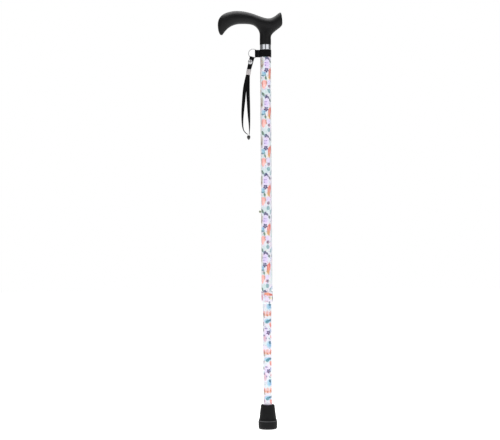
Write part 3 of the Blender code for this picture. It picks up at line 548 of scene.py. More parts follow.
lower_tube = tube("tube_lower", LOWER_BORE_R, LOWER_R, LOWER_LOW_Z, LOWER_HIGH_Z, 0.3 * MM, 0.3 * MM)
drill(lower_tube, HOLE_R, (-20 * MM, 0, BUTTON_Z), (0, 0, BUTTON_Z))
dress(lower_tube, lower_print, bare_metal)
line_with_metal(lower_tube, LOWER_R)
settle(lower_tube, 30)
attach(lower_tube, "lower_section")
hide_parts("lower_tube")

nylon, nodes, shader, place = new_material(
    "white_nylon", srgb(216, 214, 206), 0.42, Subsurface_Weight=0.08, Subsurface_Scale=0.002
)
flow = nodes.noise(place, 240.0, 3.0)
nodes.put(shader.inputs["Base Color"], nodes.mix(flow, srgb(206, 204, 196), srgb(224, 222, 214)))
nodes.bump(shader, 0.10, 0.0003, nodes.noise(place, 1800.0, 3.0))
for node in ("glide_plug", "handle_plug", "compression_ring"):
    dress(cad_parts[node], nylon)

zinc, nodes, shader, place = new_material("zinc_steel", srgb(186, 188, 186), 0.30, 1.0)
spangle = nodes.noise(place, 900.0, 3.0, 0.6)
nodes.mottle(shader, spangle, srgb(164, 166, 168), srgb(206, 206, 200), 0.22, 0.42)
for node in ("button_spring", "handle_screw", "tip_washer", "snap_socket", "snap_stud"):
    dress(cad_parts[node], zinc)

# The ferrule: a tapered rubber cup with a rolled mouth, a stepped foot with a painted highlight line on its
# ledge, and three tread rings in its base.
RUBBER_PROFILE = [
    (0.0, 7.7), (9.8, 7.7), (9.8, 46.8), (10.8, 49.8), (11.4, 50.3), (13.2, 50.3), (14.0, 50.0),
    (14.45, 49.3), (14.6, 48.3), (17.55, 23.2), (17.75, 21.4), (18.15, 20.2), (18.7, 19.2),
    (19.05, 18.3), (19.1, 17.5), (19.05, 17.1), (19.15, 16.85), (19.5, 16.5), (19.7, 16.15),
    (19.75, 15.6), (19.75, 14.5), (19.72, 7.0), (19.5, 3.2), (19.0, 1.5), (18.1, 0.5), (16.75, 0.0),
    (14.2, 0.0), (13.9, 1.2), (13.1, 1.2), (12.8, 0.0), (11.2, 0.0), (10.9, 1.2), (10.1, 1.2),
    (9.8, 0.0), (8.2, 0.0), (7.9, 1.2), (7.1, 1.2), (6.8, 0.0), (0.0, 0.0),
]
LEDGE_LOW_Z, LEDGE_HIGH_Z = 16.1 * MM, 17.4 * MM
SCUFF_Z = 5.0 * MM
rubber, nodes, shader, place = new_material(
    "ferrule_rubber", srgb(14, 14, 15), 0.5, Specular_IOR_Level=0.14
)
bloom = nodes.noise(place, 110.0, 4.0, 0.6)
parted = nodes.add("ShaderNodeSeparateXYZ", place)
scuff_low = nodes.step(parted.outputs[2], 0.0, SCUFF_Z, 1.0, 0.0)
scuffs = nodes.noise(nodes.vector("MULTIPLY", place, (1.0, 1.0, 2.5)), 420.0, 4.0, 0.7)
scuffed = nodes.math("MULTIPLY", scuff_low, nodes.step(scuffs, 0.48, 0.66))
colour = nodes.mix(nodes.step(bloom, 0.35, 0.7), srgb(8, 8, 9), srgb(14, 14, 15))
worn = nodes.mix(nodes.math("MULTIPLY", scuffed, 0.5), colour, srgb(92, 90, 86))
# A pale band painted on the step's top ledge is a painted highlight where the overhead light catches it.
ledge_low = nodes.step(parted.outputs[2], LEDGE_LOW_Z, LEDGE_LOW_Z + 0.4 * MM)
ledge_high = nodes.step(parted.outputs[2], LEDGE_HIGH_Z - 0.4 * MM, LEDGE_HIGH_Z, 1.0, 0.0)
painted_ledge_highlight = nodes.math("MULTIPLY", nodes.math("MULTIPLY", ledge_low, ledge_high), 0.62)
nodes.put(shader.inputs["Base Color"], nodes.mix(painted_ledge_highlight, worn, srgb(116, 116, 118)))
nodes.put(shader.inputs["Roughness"], nodes.step(bloom, 0.3, 0.7, 0.46, 0.64))
nodes.bump(shader, 0.25, 0.0003, nodes.noise(place, 1500.0, 3.0, 0.6))

tip = lathe("rubber_ferrule", in_mm(RUBBER_PROFILE))
dress(tip, rubber)
settle(tip, 32)
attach(tip, "lower_section")
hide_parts("rubber_tip")

# ---- Height button --------------------------------------------------------------------------------
# A domed, plated brass button on a leaf spring inside the lower tube. It snaps out through the hole
# and is pushed in with a thumb to change the height.
button_metal, nodes, shader, place = new_material("button_metal", srgb(138, 144, 126), 0.34, 1.0)
parted = nodes.add("ShaderNodeSeparateXYZ", place)
worn = nodes.step(parted.outputs[0], -15.5 * MM, -14.2 * MM, 1.0, 0.0)
patch = nodes.noise(place, 800.0, 3.0)
worn = nodes.math("MULTIPLY", worn, nodes.step(patch, 0.4, 0.6))
nodes.put(shader.inputs["Base Color"], nodes.mix(worn, srgb(134, 140, 124), srgb(186, 172, 128)))
nodes.put(shader.inputs["Roughness"], nodes.step(patch, 0.3, 0.7, 0.26, 0.46))

BUTTON_PROFILE = [
    (0.0, 15.5), (0.9, 15.44), (1.7, 15.24), (2.35, 14.9), (2.8, 14.4), (3.0, 13.8), (3.0, 7.3),
    (3.2, 7.0), (3.7, 7.0), (3.9, 6.8), (3.9, 5.8), (0.0, 5.8),
]
button = lathe("height_button", in_mm(BUTTON_PROFILE), 48)
button.rotation_euler = (0.0, math.radians(-90), 0.0)
button.location = (0.0, 0.0, BUTTON_Z)
dress(button, button_metal)
settle(button, 40)
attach(button, "button")
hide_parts("snap_button")

# ---- Lock nut -------------------------------------------------------------------------------------
# A printed aluminium collar that screws on the upper tube's end and squeezes a split nylon ring on the
# lower tube, so that the two don't rattle. Its foot is tapered and its lip turned in.
NUT_MARKS = [
    ("blot", 0, 14, 90, 9, 10, 0.9, LAVENDER, 0.6),
    ("petal", 20, 5.5, 10, 12.5, 4.4, 0.3, CORAL, 1.0),
    ("petal", 42, 6.5, 14, 7.0, 3.0, 0.4, RED, 0.75),
    ("petal", 8, 3.6, 8, 6.0, 1.8, 0.5, ORANGE, 0.8),
    ("leaf", -30, 1.0, 0, 10.0, 1.8, 0.5, WINE, 0.7),
    ("petal", -52, 11.5, 85, 8.0, 3.9, 0.4, ROSE, 1.0),
    ("leaf", -24, 8, 55, 6.6, 1.7, 0.5, ROSE, 0.8),
    ("blot", 40, 13.5, 0, 5.0, 3.8, 0.5, CREAM, 1.0),
    ("leaf", 24, 12, 40, 4.2, 2.3, 0.4, OLIVE, 0.95),
    ("leaf", 64, 14, 85, 6.0, 2.8, 0.4, DARK_GREEN, 0.9),
    ("blot", -8, 20, 0, 6.4, 3.0, 0.7, ROSE, 0.5),
    ("blot", 24, 22.6, 70, 3.8, 2.8, 0.5, DEEP_TEAL, 0.9),
    ("petal", 130, 10, 60, 9.0, 5.4, 0.3, PINK, 1.0),
    ("petal", -120, 13, 110, 9.0, 5.2, 0.3, CORAL, 0.95),
    ("flower", 175, 8, 10, 5.0, 5.0, 0.2, INDIGO, 0.95),
    ("flower", -150, 20, 30, 4.4, 4.4, 0.2, VIOLET, 0.95),
    ("leaf", 100, 18, 40, 4.6, 2.4, 0.3, GREEN, 0.95),
    ("leaf", -92, 5, 120, 4.6, 2.2, 0.3, TEAL, 0.95),
    ("leaf", 154, 21, 50, 4.4, 2.1, 0.3, SEA, 0.9),
]
NUT_R = 12.7 * MM
NUT_BORE_R = 11.4 * MM
NUT_LOW_Z, NUT_HIGH_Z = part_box("lock_nut")[0].z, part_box("lock_nut")[1].z
NUT_REPEAT = 60.0
nut_print = printed_metal("collar_print", NUT_R, NUT_REPEAT, NUT_HIGH_Z, NUT_MARKS)
NUT_PROFILE = [
    (11.4, 25.0), (11.9, 25.0), (12.2, 24.85), (12.42, 24.4), (12.55, 23.4), (12.62, 19.0),
    (12.68, 13.0), (12.62, 7.0), (12.5, 4.2), (12.25, 2.5), (11.8, 1.1), (11.2, 0.25), (10.6, 0.0),
    (9.9, 0.0), (9.9, 3.2), (11.4, 3.2),
]
nut = lathe("lock_collar", in_mm(NUT_PROFILE), closed=True)
nut.location.z = NUT_LOW_Z
dress(nut, nut_print, bare_metal)
for face in nut.data.polygons:
    inside = math.hypot(face.center.x, face.center.y) < NUT_BORE_R + 0.05 * MM
    face.material_index = 1 if inside and face.center.z > 0.1 * MM else 0
settle(nut, 32)
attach(nut, "nut")
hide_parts("lock_nut")

# ---- Handle ---------------------------------------------------------------------------------------
# A hollow-moulded derby grip with a soft-touch matt coat, screwed to a nylon plug in the tube. Its
# two mould halves meet in a faint line along the middle. Rings of eight points are bridged into it.
# Each ring holds the x and z of its top, the x and z of its underside and its half width, in mm.
GRIP_RINGS = [
    (-93.6, 815.2, -89.3, 814.2, 3.2),
    (-96.9, 822.2, -86.2, 819.4, 6.6),
    (-98.7, 833.5, -80.6, 826.0, 10.2),
    (-98.1, 847.0, -74.2, 831.4, 12.6),
    (-89.5, 858.1, -67.2, 835.0, 13.8),
    (-74.7, 863.8, -58.5, 837.6, 14.2),
    (-57.5, 865.8, -48.0, 838.0, 14.0),
    (-40.0, 863.4, -36.0, 837.8, 13.4),
    (-25.0, 859.2, -22.2, 835.8, 12.8),
    (-12.0, 854.0, -12.0, 828.0, 12.4),
    (1.0, 849.3, 1.0, 826.0, 12.3),
    (12.0, 849.0, 12.0, 823.0, 12.4),
    (21.5, 854.6, 22.2, 824.0, 12.4),
    (28.8, 860.8, 30.0, 829.6, 12.0),
    (32.6, 862.2, 35.0, 834.4, 11.0),
    (34.3, 856.2, 36.0, 840.8, 7.2),
]
# Each neck ring holds its z at the palm side, its z at the other side and its radius, in mm
NECK_RINGS = [(822.5, 814.6, 11.2), (810.0, 806.0, 11.7), (801.0, 801.0, 11.7), (794.0, 794.0, 11.7)]
NECK_FIRST, NECK_LAST = 8, 12
CAGE_SWELL, NECK_SWELL = 1.10, 1.045  # the rings are drawn larger, since smoothing shrinks them
NECK_FOOT_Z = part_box("handle_grip")[0].z
NECK_WALL = 1.85 * MM
NECK_GAP_HALF = 5.5 * MM
UNDERSIDE_Z = 836.0 * MM
SOCKET_TOP_Z = 825.0 * MM

clear_choice()
bpy.ops.mesh.primitive_circle_add(vertices=8, radius=MM)
grip = bpy.context.object
grip.name = "derby_grip"
bpy.ops.object.mode_set(mode="EDIT")
bpy.ops.mesh.delete(type="VERT")
for top_x, top_z, low_x, low_z, half_width in GRIP_RINGS:
    middle = Vector((top_x + low_x, 0.0, top_z + low_z)) * MM / 2
    rise = Vector((top_x - low_x, 0.0, top_z - low_z)) * MM / 2 * CAGE_SWELL
    bpy.ops.mesh.select_all(action="DESELECT")
    bpy.ops.mesh.primitive_circle_add(vertices=8, radius=1.0, location=middle)
    work = bmesh.from_edit_mesh(grip.data)
    ring = [point for point in work.verts if point.select]
    for point in ring:
        away = point.co - middle
        side = Vector((0.0, away.x * half_width * MM * CAGE_SWELL, 0.0))
        point.co = middle + rise * away.y + side
    bmesh.update_edit_mesh(grip.data)
bpy.ops.mesh.select_all(action="SELECT")
bpy.ops.mesh.bridge_edge_loops(type="SINGLE")
choose(grip, "EDGE", lambda edge: edge.is_boundary)
bpy.ops.mesh.edge_face_add()


def under_neck(face):
    """A face of the underside between the rings where the neck grows out."""
    first_x, last_x = GRIP_RINGS[NECK_FIRST][2] * MM, GRIP_RINGS[NECK_LAST][2] * MM
    middle = face.calc_center_median()
    low = middle.z < UNDERSIDE_Z and face.normal.z < -0.3
    return low and first_x < middle.x < last_x and abs(middle.y) < NECK_GAP_HALF


bpy.ops.mesh.select_all(action="SELECT")
bpy.ops.mesh.normals_make_consistent(inside=False)
choose(grip, "FACE", under_neck)
bpy.ops.mesh.delete(type="FACE")
bpy.ops.mesh.select_mode(type="EDGE")
for nose_z, spur_z, ring_r in NECK_RINGS:
    radius = ring_r * NECK_SWELL * MM
    middle = Vector((0.0, 0.0, (nose_z + spur_z) / 2 * MM))
    bpy.ops.mesh.select_all(action="DESELECT")
    bpy.ops.mesh.primitive_circle_add(vertices=12, radius=radius, location=middle)
    work = bmesh.from_edit_mesh(grip.data)
    for point in work.verts:
        if point.select:
            share = 0.5 - point.co.x / (2 * radius)
            point.co.z = (spur_z + (nose_z - spur_z) * share) * MM
    bmesh.update_edit_mesh(grip.data)
    choose(grip, "EDGE", lambda edge: edge.is_boundary or edge.is_wire)
    bpy.ops.mesh.bridge_edge_loops(type="SINGLE")
tidy_mesh()
bpy.ops.object.mode_set(mode="OBJECT")
apply_modifier(grip, "SUBSURF", levels=3, render_levels=3)
bpy.ops.object.mode_set(mode="EDIT")
bpy.ops.mesh.select_all(action="SELECT")
bpy.ops.mesh.bisect(plane_co=(0, 0, NECK_FOOT_Z), plane_no=(0, 0, -1), use_fill=False, clear_outer=True)
choose(grip, "EDGE", lambda edge: edge.is_boundary)
bpy.ops.mesh.edge_face_add()
bpy.ops.mesh.inset(thickness=NECK_WALL)
bpy.ops.mesh.extrude_region_move(TRANSFORM_OT_translate={"value": (0, 0, SOCKET_TOP_Z - NECK_FOOT_Z)})
tidy_mesh()
bpy.ops.object.mode_set(mode="OBJECT")

soft_touch, nodes, shader, place = new_material(
    "soft_touch_black", srgb(10, 10, 11), 0.46, Specular_IOR_Level=0.16
)
bloom = nodes.noise(place, 60.0, 3.0)
nodes.mottle(shader, bloom, srgb(7, 7, 8), srgb(11, 11, 12), 0.43, 0.50, 0.35, 0.65)
parted = nodes.add("ShaderNodeSeparateXYZ", place)
line = nodes.step(nodes.math("ABSOLUTE", parted.outputs[1]), 0.05 * MM, 0.28 * MM, 1.0, 0.0)
grain = nodes.noise(place, 2600.0, 2.0)
height = nodes.math("ADD", nodes.math("MULTIPLY", grain, 0.12), nodes.math("MULTIPLY", line, 0.5))
nodes.bump(shader, 0.35, 0.00012, height)
dress(grip, soft_touch)
settle(grip, 50)
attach(grip, "cane")
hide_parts("handle_grip")

# The trim ring between handle and tube: a short, polished, chrome-plated sleeve.
RING_LOW_Z, RING_HIGH_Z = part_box("chrome_ring")[0].z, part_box("chrome_ring")[1].z
RING_BORE_R, RING_EDGE_R, RING_CHAMFER_R, RING_R = 9.85 * MM, 10.9 * MM, 11.14 * MM, 11.25 * MM
chrome, nodes, shader, place = new_material("chrome", srgb(196, 199, 204), 0.07, 1.0)
haze = nodes.noise(place, 380.0, 3.0)
nodes.mottle(shader, haze, srgb(188, 191, 197), srgb(204, 206, 210), 0.045, 0.11, 0.35)
trim_ring = lathe(
    "trim_ring",
    [
        (RING_BORE_R, RING_HIGH_Z),
        (RING_EDGE_R, RING_HIGH_Z),
        (RING_CHAMFER_R, RING_HIGH_Z - 0.1 * MM),
        (RING_R, RING_HIGH_Z - 0.36 * MM),
        (RING_R, RING_LOW_Z + 0.36 * MM),
        (RING_CHAMFER_R, RING_LOW_Z + 0.1 * MM),
        (RING_EDGE_R, RING_LOW_Z),
        (RING_BORE_R, RING_LOW_Z),
    ],
    closed=True,
)
dress(trim_ring, chrome)
settle(trim_ring, 20)
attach(trim_ring, "cane")
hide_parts("chrome_ring")

# ---- Wrist strap: keeper band ---------------------------------------------------------------------
# A length of black nylon webbing wrapped round the tube. Both ends are sewn together at the side, and
# the fold beyond the seam holds the split ring.
nodes, ins, outs = new_group(
    "webbing_weave",
    {
        "Place": ("Vector", (0.0, 0.0, 0.0)),
        "Yarn": ("Float", 0.9),
        "Base": ("Color", (0.01, 0.01, 0.01, 1.0)),
    },
    {"Colour": "Color", "Height": "Float", "Roughness": "Float"},
)
parted = nodes.add("ShaderNodeSeparateXYZ", ins.outputs["Place"])
across = nodes.math("DIVIDE", parted.outputs[0], ins.outputs["Yarn"])
along = nodes.math("DIVIDE", parted.outputs[1], ins.outputs["Yarn"])
lane = nodes.math("FLOOR", across)
shift = nodes.math("MULTIPLY", nodes.math("MODULO", nodes.math("ABSOLUTE", lane), 2.0), 0.5)
beat = nodes.math("FRACT", nodes.math("ADD", nodes.math("MULTIPLY", along, 0.5), shift))
over = nodes.math("SINE", nodes.math("MULTIPLY", beat, math.pi))
rib = nodes.math("SINE", nodes.math("MULTIPLY", nodes.math("FRACT", across), math.pi))
height = nodes.math("MULTIPLY", nodes.math("POWER", rib, 0.6), nodes.math("POWER", over, 0.5))
fuzz = nodes.noise(ins.outputs["Place"], 3.2, 3.0, 0.7)
nodes.put(outs.inputs["Height"], nodes.math("MULTIPLY_ADD", fuzz, 0.16, height))
# The yarns' colour is darkened in the low places between them, which is painted shade, with random fuzz tone
# mixed in.
shade = nodes.math("MULTIPLY_ADD", height, 0.75, nodes.math("MULTIPLY", fuzz, 0.5))
weave_with_painted_shade = nodes.mix(shade, (0.0025, 0.0025, 0.003), ins.outputs["Base"])
nodes.put(outs.inputs["Colour"], weave_with_painted_shade)
nodes.put(outs.inputs["Roughness"], nodes.step(fuzz, 0.3, 0.7, 0.62, 0.84))


def webbing(name, colour, width, length, yarn=0.62):
    """Black woven nylon on a strip's own map: width and length are the strip's, in mm."""
    material, nodes, shader, _ = new_material(name, colour, 0.75, Specular_IOR_Level=0.07)
    own_map = nodes.add("ShaderNodeUVMap", uv_map="UVMap").outputs[0]
    on_strip = nodes.vector("MULTIPLY", own_map, (width, length, 0.0))
    weave = nodes.group("webbing_weave", Place=on_strip, Yarn=yarn, Base=colour)
    nodes.put(shader.inputs["Base Color"], weave.outputs["Colour"])
    nodes.put(shader.inputs["Roughness"], weave.outputs["Roughness"])
    nodes.bump(shader, 0.8, 0.00018, weave.outputs["Height"])
    return material


def strip(name, route, sides, width, thick, lanes=10):
    """A woven strip along a route of points; sides are the directions across it at each point."""
    clear_choice()
    bpy.ops.mesh.primitive_grid_add(x_subdivisions=lanes, y_subdivisions=len(route) - 1, size=1.0)
    piece = bpy.context.object
    piece.name = name
    for point in piece.data.vertices:
        row = round((point.co.y + 0.5) * (len(route) - 1))
        point.co = route[row] + sides[row] * point.co.x * width
    apply_modifier(piece, "SOLIDIFY", thickness=thick, offset=0.0, use_even_offset=False)
    apply_modifier(
        piece, "BEVEL", width=thick * 0.28, segments=2, limit_method="ANGLE", angle_limit=math.radians(60)
    )
    return piece


def smooth_route(points, count):
    """Evenly spaced points on a smooth curve through the given ones."""
    points = [Vector(point) for point in points]
    padded_points = [points[0] * 2 - points[1], *points, points[-1] * 2 - points[-2]]
    fine = []
    for a, b, c, d in zip(padded_points, padded_points[1:], padded_points[2:], padded_points[3:]):
        for step in range(24):
            t = step / 24
            bend = (2 * a - 5 * b + 4 * c - d) * t**2 + (3 * b - a - 3 * c + d) * t**3
            fine.append(0.5 * (2 * b + (c - a) * t + bend))
    fine.append(points[-1])
    reach = [0.0]
    for a, b in zip(fine, fine[1:]):
        reach.append(reach[-1] + (b - a).length)
    even, at = [], 0
    for step in range(count):
        want = reach[-1] * step / (count - 1)
        while at < len(fine) - 2 and reach[at + 1] < want:
            at += 1
        share = (want - reach[at]) / max(reach[at + 1] - reach[at], 1e-9)
        even.append(fine[at].lerp(fine[at + 1], min(max(share, 0.0), 1.0)))
    return even, reach[-1]


BAND_LOW_Z, BAND_HIGH_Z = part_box("keeper_band")[0].z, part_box("keeper_band")[1].z
BAND_THICK = 0.78 * MM
BAND_MID_R = 11.74 * MM
# The band's middle line seen from above, in mm: its end, the fold, once round the tube, its other end
band_plan = [
    (-9.2, 8.15), (-11.3, 4.6), (-12.8, 2.55), (-14.2, 2.0), (-16.5, 1.9), (-19.4, 1.9), (-20.9, 1.35),
    (-21.55, 0.0), (-20.9, -1.35), (-19.4, -1.9), (-16.5, -1.9), (-14.2, -1.7), (-12.6, -2.0), (-11.2, -3.6),
]
for step in range(23):
    turn = math.radians(-155 + step * 320 / 22)
    band_plan.append((math.cos(turn) * BAND_MID_R / MM, math.sin(turn) * BAND_MID_R / MM))
band_plan += [(-11.6, 2.4), (-12.6, 1.35), (-14.0, 1.1), (-15.6, 1.05)]
band_middle_z = (BAND_LOW_Z + BAND_HIGH_Z) / 2
band_route, band_length = smooth_route([(x * MM, y * MM, band_middle_z) for x, y in band_plan], 150)
band_width = BAND_HIGH_Z - BAND_LOW_Z
band_sides = [Vector((0, 0, 1))] * len(band_route)
band = strip("keeper_webbing", band_route, band_sides, band_width, BAND_THICK, lanes=14)
dress(band, webbing("keeper_webbing_black", srgb(8, 8, 10), band_width / MM, band_length / MM))
settle(band, 45)
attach(band, "keeper")
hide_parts("keeper_band")

thread_black, nodes, shader, place = new_material(
    "stitch_thread", srgb(34, 34, 36), 0.6, Sheen_Weight=0.1
)
ply = nodes.noise(place, 4200.0)
nodes.put(shader.inputs["Base Color"], nodes.mix(ply, srgb(22, 22, 24), srgb(50, 50, 54)))
nodes.bump(shader, 0.5, 0.0001, ply)
STITCH_LONG, STITCH_R = 1.7 * MM, 0.24 * MM


def stitches(name, middles):
    """A small upright stitch of thread at each place, half sunk in the webbing, all joined."""
    size = Matrix.Diagonal((STITCH_R, STITCH_R, STITCH_LONG / 2, 1.0))
    copies = []
    for middle in middles:
        clear_choice()
        bpy.ops.mesh.primitive_uv_sphere_add(segments=8, ring_count=6, radius=1.0, location=(0, 0, 0))
        stitch = bpy.context.object
        stitch.data.transform(Matrix.Translation(middle) @ size)
        copies.append(stitch)
    row = pick(*copies)
    bpy.ops.object.join()
    row.name = name
    dress(row, thread_black)
    return settle(row, 60)


SEAM_FACES, SEAM_COLUMNS = (-2.14, 2.34), (-14.9, -13.6)
SEAM_FIRST, SEAM_STEP = 1.9 * MM, 2.27 * MM
seam_middles = []
for face_y in SEAM_FACES:
    for column_x in SEAM_COLUMNS:
        for k in range(6):
            seam_z = BAND_LOW_Z + SEAM_FIRST + k * SEAM_STEP
            seam_middles.append(Vector((column_x * MM, face_y * MM, seam_z)))
band_seam = stitches("keeper_stitches", seam_middles)
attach(band_seam, "keeper")

# ---- Split ring -----------------------------------------------------------------------------------
# A plated spring-steel key ring of two flat turns. It joins the keeper's fold to the strap's tab.
ring_low, ring_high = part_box("split_ring")
RING_CENTRE = (ring_low + ring_high) / 2
RING_MID_R = 9.4 * MM
RING_TURN = 0.68 * MM
WIRE_HALF_WIDTH, WIRE_HALF_HEIGHT = 0.58 * MM, 0.32 * MM
WIRE_SQUARE = 0.6  # 1 would be an ellipse, and less is squarer
RING_END_TURN = math.radians(118)
clear_choice()
bpy.ops.mesh.primitive_circle_add(
    vertices=12, radius=1.0, location=(RING_MID_R, 0, 0), rotation=(math.pi / 2, 0, 0)
)
split_ring = bpy.context.object
split_ring.name = "key_ring"
bpy.ops.object.transform_apply(location=False, rotation=True, scale=False)
for point in split_ring.data.vertices:
    point.co.x = math.copysign(abs(point.co.x) ** WIRE_SQUARE, point.co.x) * WIRE_HALF_WIDTH
    point.co.z = math.copysign(abs(point.co.z) ** WIRE_SQUARE, point.co.z) * WIRE_HALF_HEIGHT - RING_TURN
bpy.ops.object.transform_apply(location=True, rotation=True, scale=True)
apply_modifier(
    split_ring,
    "SCREW",
    axis="Z",
    steps=96,
    render_steps=96,
    iterations=2,
    screw_offset=RING_TURN,
    use_merge_vertices=False,
)
bpy.ops.object.mode_set(mode="EDIT")
choose(split_ring, "EDGE", lambda edge: edge.is_boundary)
bpy.ops.mesh.edge_face_add()
tidy_mesh(0.000001)
bpy.ops.object.mode_set(mode="OBJECT")
split_ring.rotation_euler = (math.radians(90), RING_END_TURN, 0.0)
split_ring.location = RING_CENTRE
spring_steel, nodes, shader, place = new_material("spring_steel", srgb(150, 149, 152), 0.22, 1.0)
drawn = nodes.noise(place, 1400.0, 3.0, 0.6)
nodes.mottle(shader, drawn, srgb(132, 130, 132), srgb(168, 168, 172), 0.16, 0.30)
dress(split_ring, spring_steel)
settle(split_ring, 35)
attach(split_ring, "ring")
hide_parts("split_ring")

# ---- Strap tab, snap and crimp --------------------------------------------------------------------
# Webbing folded over the ring and closed by a press stud. Below it a flattened metal sleeve is
# pressed on the webbing and the two loop tapes.
STRAP_TILT = math.radians(15)
RING_EYE_R = 8.83 * MM
STRAP_PIVOT = RING_CENTRE - Vector((math.sin(STRAP_TILT), 0.0, math.cos(STRAP_TILT))) * RING_EYE_R
strap_frame = Matrix.Translation(STRAP_PIVOT) @ Matrix.Rotation(STRAP_TILT, 4, "Y")
TAB_WIDTH = 9.0 * MM
TAB_THICK = 0.78 * MM
TAB_TOP_SHARE, TAB_TAPER = 1.1, 5.0  # the width's share at the fold, and its loss for each metre down
FOLD_R = 2.0
# One leg of the tab seen from its edge, (depth, height) in mm, from the crimp up to the fold
tab_leg = [(-0.85, -27.0), (-0.9, -21.2), (-1.5, -19.0), (-1.95, -16.8)]
tab_leg += [(-FOLD_R, z) for z in (-13.0, -8.0, -3.5, 0.0)]
tab_side = list(tab_leg)
for step in range(1, 6):
    turn = math.radians(180 - 30 * step)
    tab_side.append((FOLD_R * math.cos(turn), FOLD_R * math.sin(turn)))
tab_side += [(-x, z) for x, z in reversed(tab_leg)]
tab_points = [strap_frame @ Vector((0.0, y * MM, z * MM)) for y, z in tab_side]
tab_route, tab_length = smooth_route(tab_points, 90)
tab_across = (strap_frame.to_3x3() @ Vector((1, 0, 0))).normalized()
tab_top_z = max(point.z for point in tab_route)
tab_sides = [tab_across * (TAB_TOP_SHARE - TAB_TAPER * (tab_top_z - point.z)) for point in tab_route]
tab = strip("strap_tab_webbing", tab_route, tab_sides, TAB_WIDTH, TAB_THICK)
dress(tab, webbing("tab_webbing_black", srgb(8, 8, 10), TAB_WIDTH / MM, tab_length / MM))
settle(tab, 45)
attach(tab, "strap")
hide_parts("strap_tab")

SNAP_PLACE = strap_frame @ Matrix.Translation((-1.2 * MM, 0.0, -9.4 * MM))
SNAP_PLACE = SNAP_PLACE @ Matrix.Rotation(math.radians(90), 4, "X")
cap_steel, nodes, shader, place = new_material("snap_plating", srgb(164, 164, 167), 0.26, 1.0)
rubbed = nodes.noise(place, 700.0, 3.0)
nodes.mottle(shader, rubbed, srgb(150, 150, 154), srgb(176, 176, 176), 0.20, 0.34, 0.35)
SNAP_CAP_PROFILE = [
    (0.0, 4.55), (1.2, 4.5), (2.4, 4.28), (3.3, 3.92), (3.75, 3.58), (3.95, 3.42), (4.3, 3.42),
    (4.62, 3.26), (4.78, 2.98), (4.7, 2.7), (4.45, 2.6), (1.5, 2.6), (1.5, 1.5), (0.0, 1.5),
]
cap = lathe("snap_cap_dome", in_mm(SNAP_CAP_PROFILE), 64)
cap.matrix_world = SNAP_PLACE
dress(cap, cap_steel)
settle(cap, 40)
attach(cap, "strap")
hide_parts("snap_cap")

SNAP_BACK_PROFILE = [
    (0.0, -1.5), (1.5, -1.5), (1.5, -2.6), (3.5, -2.6), (3.85, -2.75), (3.9, -3.05), (3.7, -3.35),
    (3.2, -3.5), (2.7, -3.4), (2.5, -3.0), (1.6, -2.95), (1.3, -3.2), (0.0, -3.25),
]
snap_back = lathe("snap_back_ring", in_mm(SNAP_BACK_PROFILE), 64)
snap_back.matrix_world = SNAP_PLACE
dress(snap_back, cap_steel)
settle(snap_back, 40)
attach(snap_back, "strap")
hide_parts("snap_back")

CRIMP_DROP = 24.7 * MM
CRIMP_SIZE = Vector((9.4, 5.0, 11.5)) * MM
CRIMP_LEAN = math.radians(8)
CRIMP_MOUTH = 1.2 * MM
CRIMP_PLACE = Matrix.Translation(strap_frame @ Vector((0.0, 0.0, -CRIMP_DROP)))
CRIMP_PLACE = CRIMP_PLACE @ Matrix.Rotation(CRIMP_LEAN, 4, "Y")
crimp_metal, nodes, shader, place = new_material("ferrule_metal", srgb(188, 182, 182), 0.42, 0.75)
streaks = nodes.noise(nodes.vector("MULTIPLY", place, (1.0, 1.0, 0.08)), 2400.0, 3.0)
nodes.mottle(shader, streaks, srgb(166, 158, 158), srgb(208, 204, 204), 0.34, 0.52)
clear_choice()
bpy.ops.mesh.primitive_cube_add(size=1.0)
crimp = bpy.context.object
crimp.name = "pressed_sleeve"
crimp.scale = CRIMP_SIZE
bpy.ops.object.transform_apply(location=False, rotation=False, scale=True)
bpy.ops.object.mode_set(mode="EDIT")
choose(crimp, "EDGE", lambda edge: abs((edge.verts[0].co - edge.verts[1].co).z) > 5 * MM)
bpy.ops.mesh.bevel(offset=1.9 * MM, segments=6, affect="EDGES")
choose(crimp, "FACE", lambda face: abs(face.normal.z) > 0.9)
bpy.ops.mesh.inset(thickness=0.55 * MM)
bpy.ops.mesh.extrude_region_move(TRANSFORM_OT_translate={"value": (0, 0, 0)})
work = bmesh.from_edit_mesh(crimp.data)
for point in work.verts:
    if point.select:
        point.co.z -= math.copysign(CRIMP_MOUTH, point.co.z)
bmesh.update_edit_mesh(crimp.data)
choose(crimp, "FACE", lambda face: abs(face.normal.y) > 0.9 and face.calc_area() > 20 * MM * MM)
bpy.ops.mesh.inset(thickness=1.1 * MM, use_individual=True)
bpy.ops.mesh.inset(thickness=0.7 * MM, depth=-0.16 * MM, use_individual=True)
tidy_mesh()
bpy.ops.object.mode_set(mode="OBJECT")
apply_modifier(
    crimp, "BEVEL", width=0.16 * MM, segments=2, limit_method="ANGLE", angle_limit=math.radians(40)
)
crimp.matrix_world = CRIMP_PLACE @ Matrix.Translation((0.0, 0.0, -CRIMP_SIZE.z / 2))
dress(crimp, crimp_metal)
settle(crimp, 35)
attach(crimp, "strap")
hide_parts("strap_crimp")

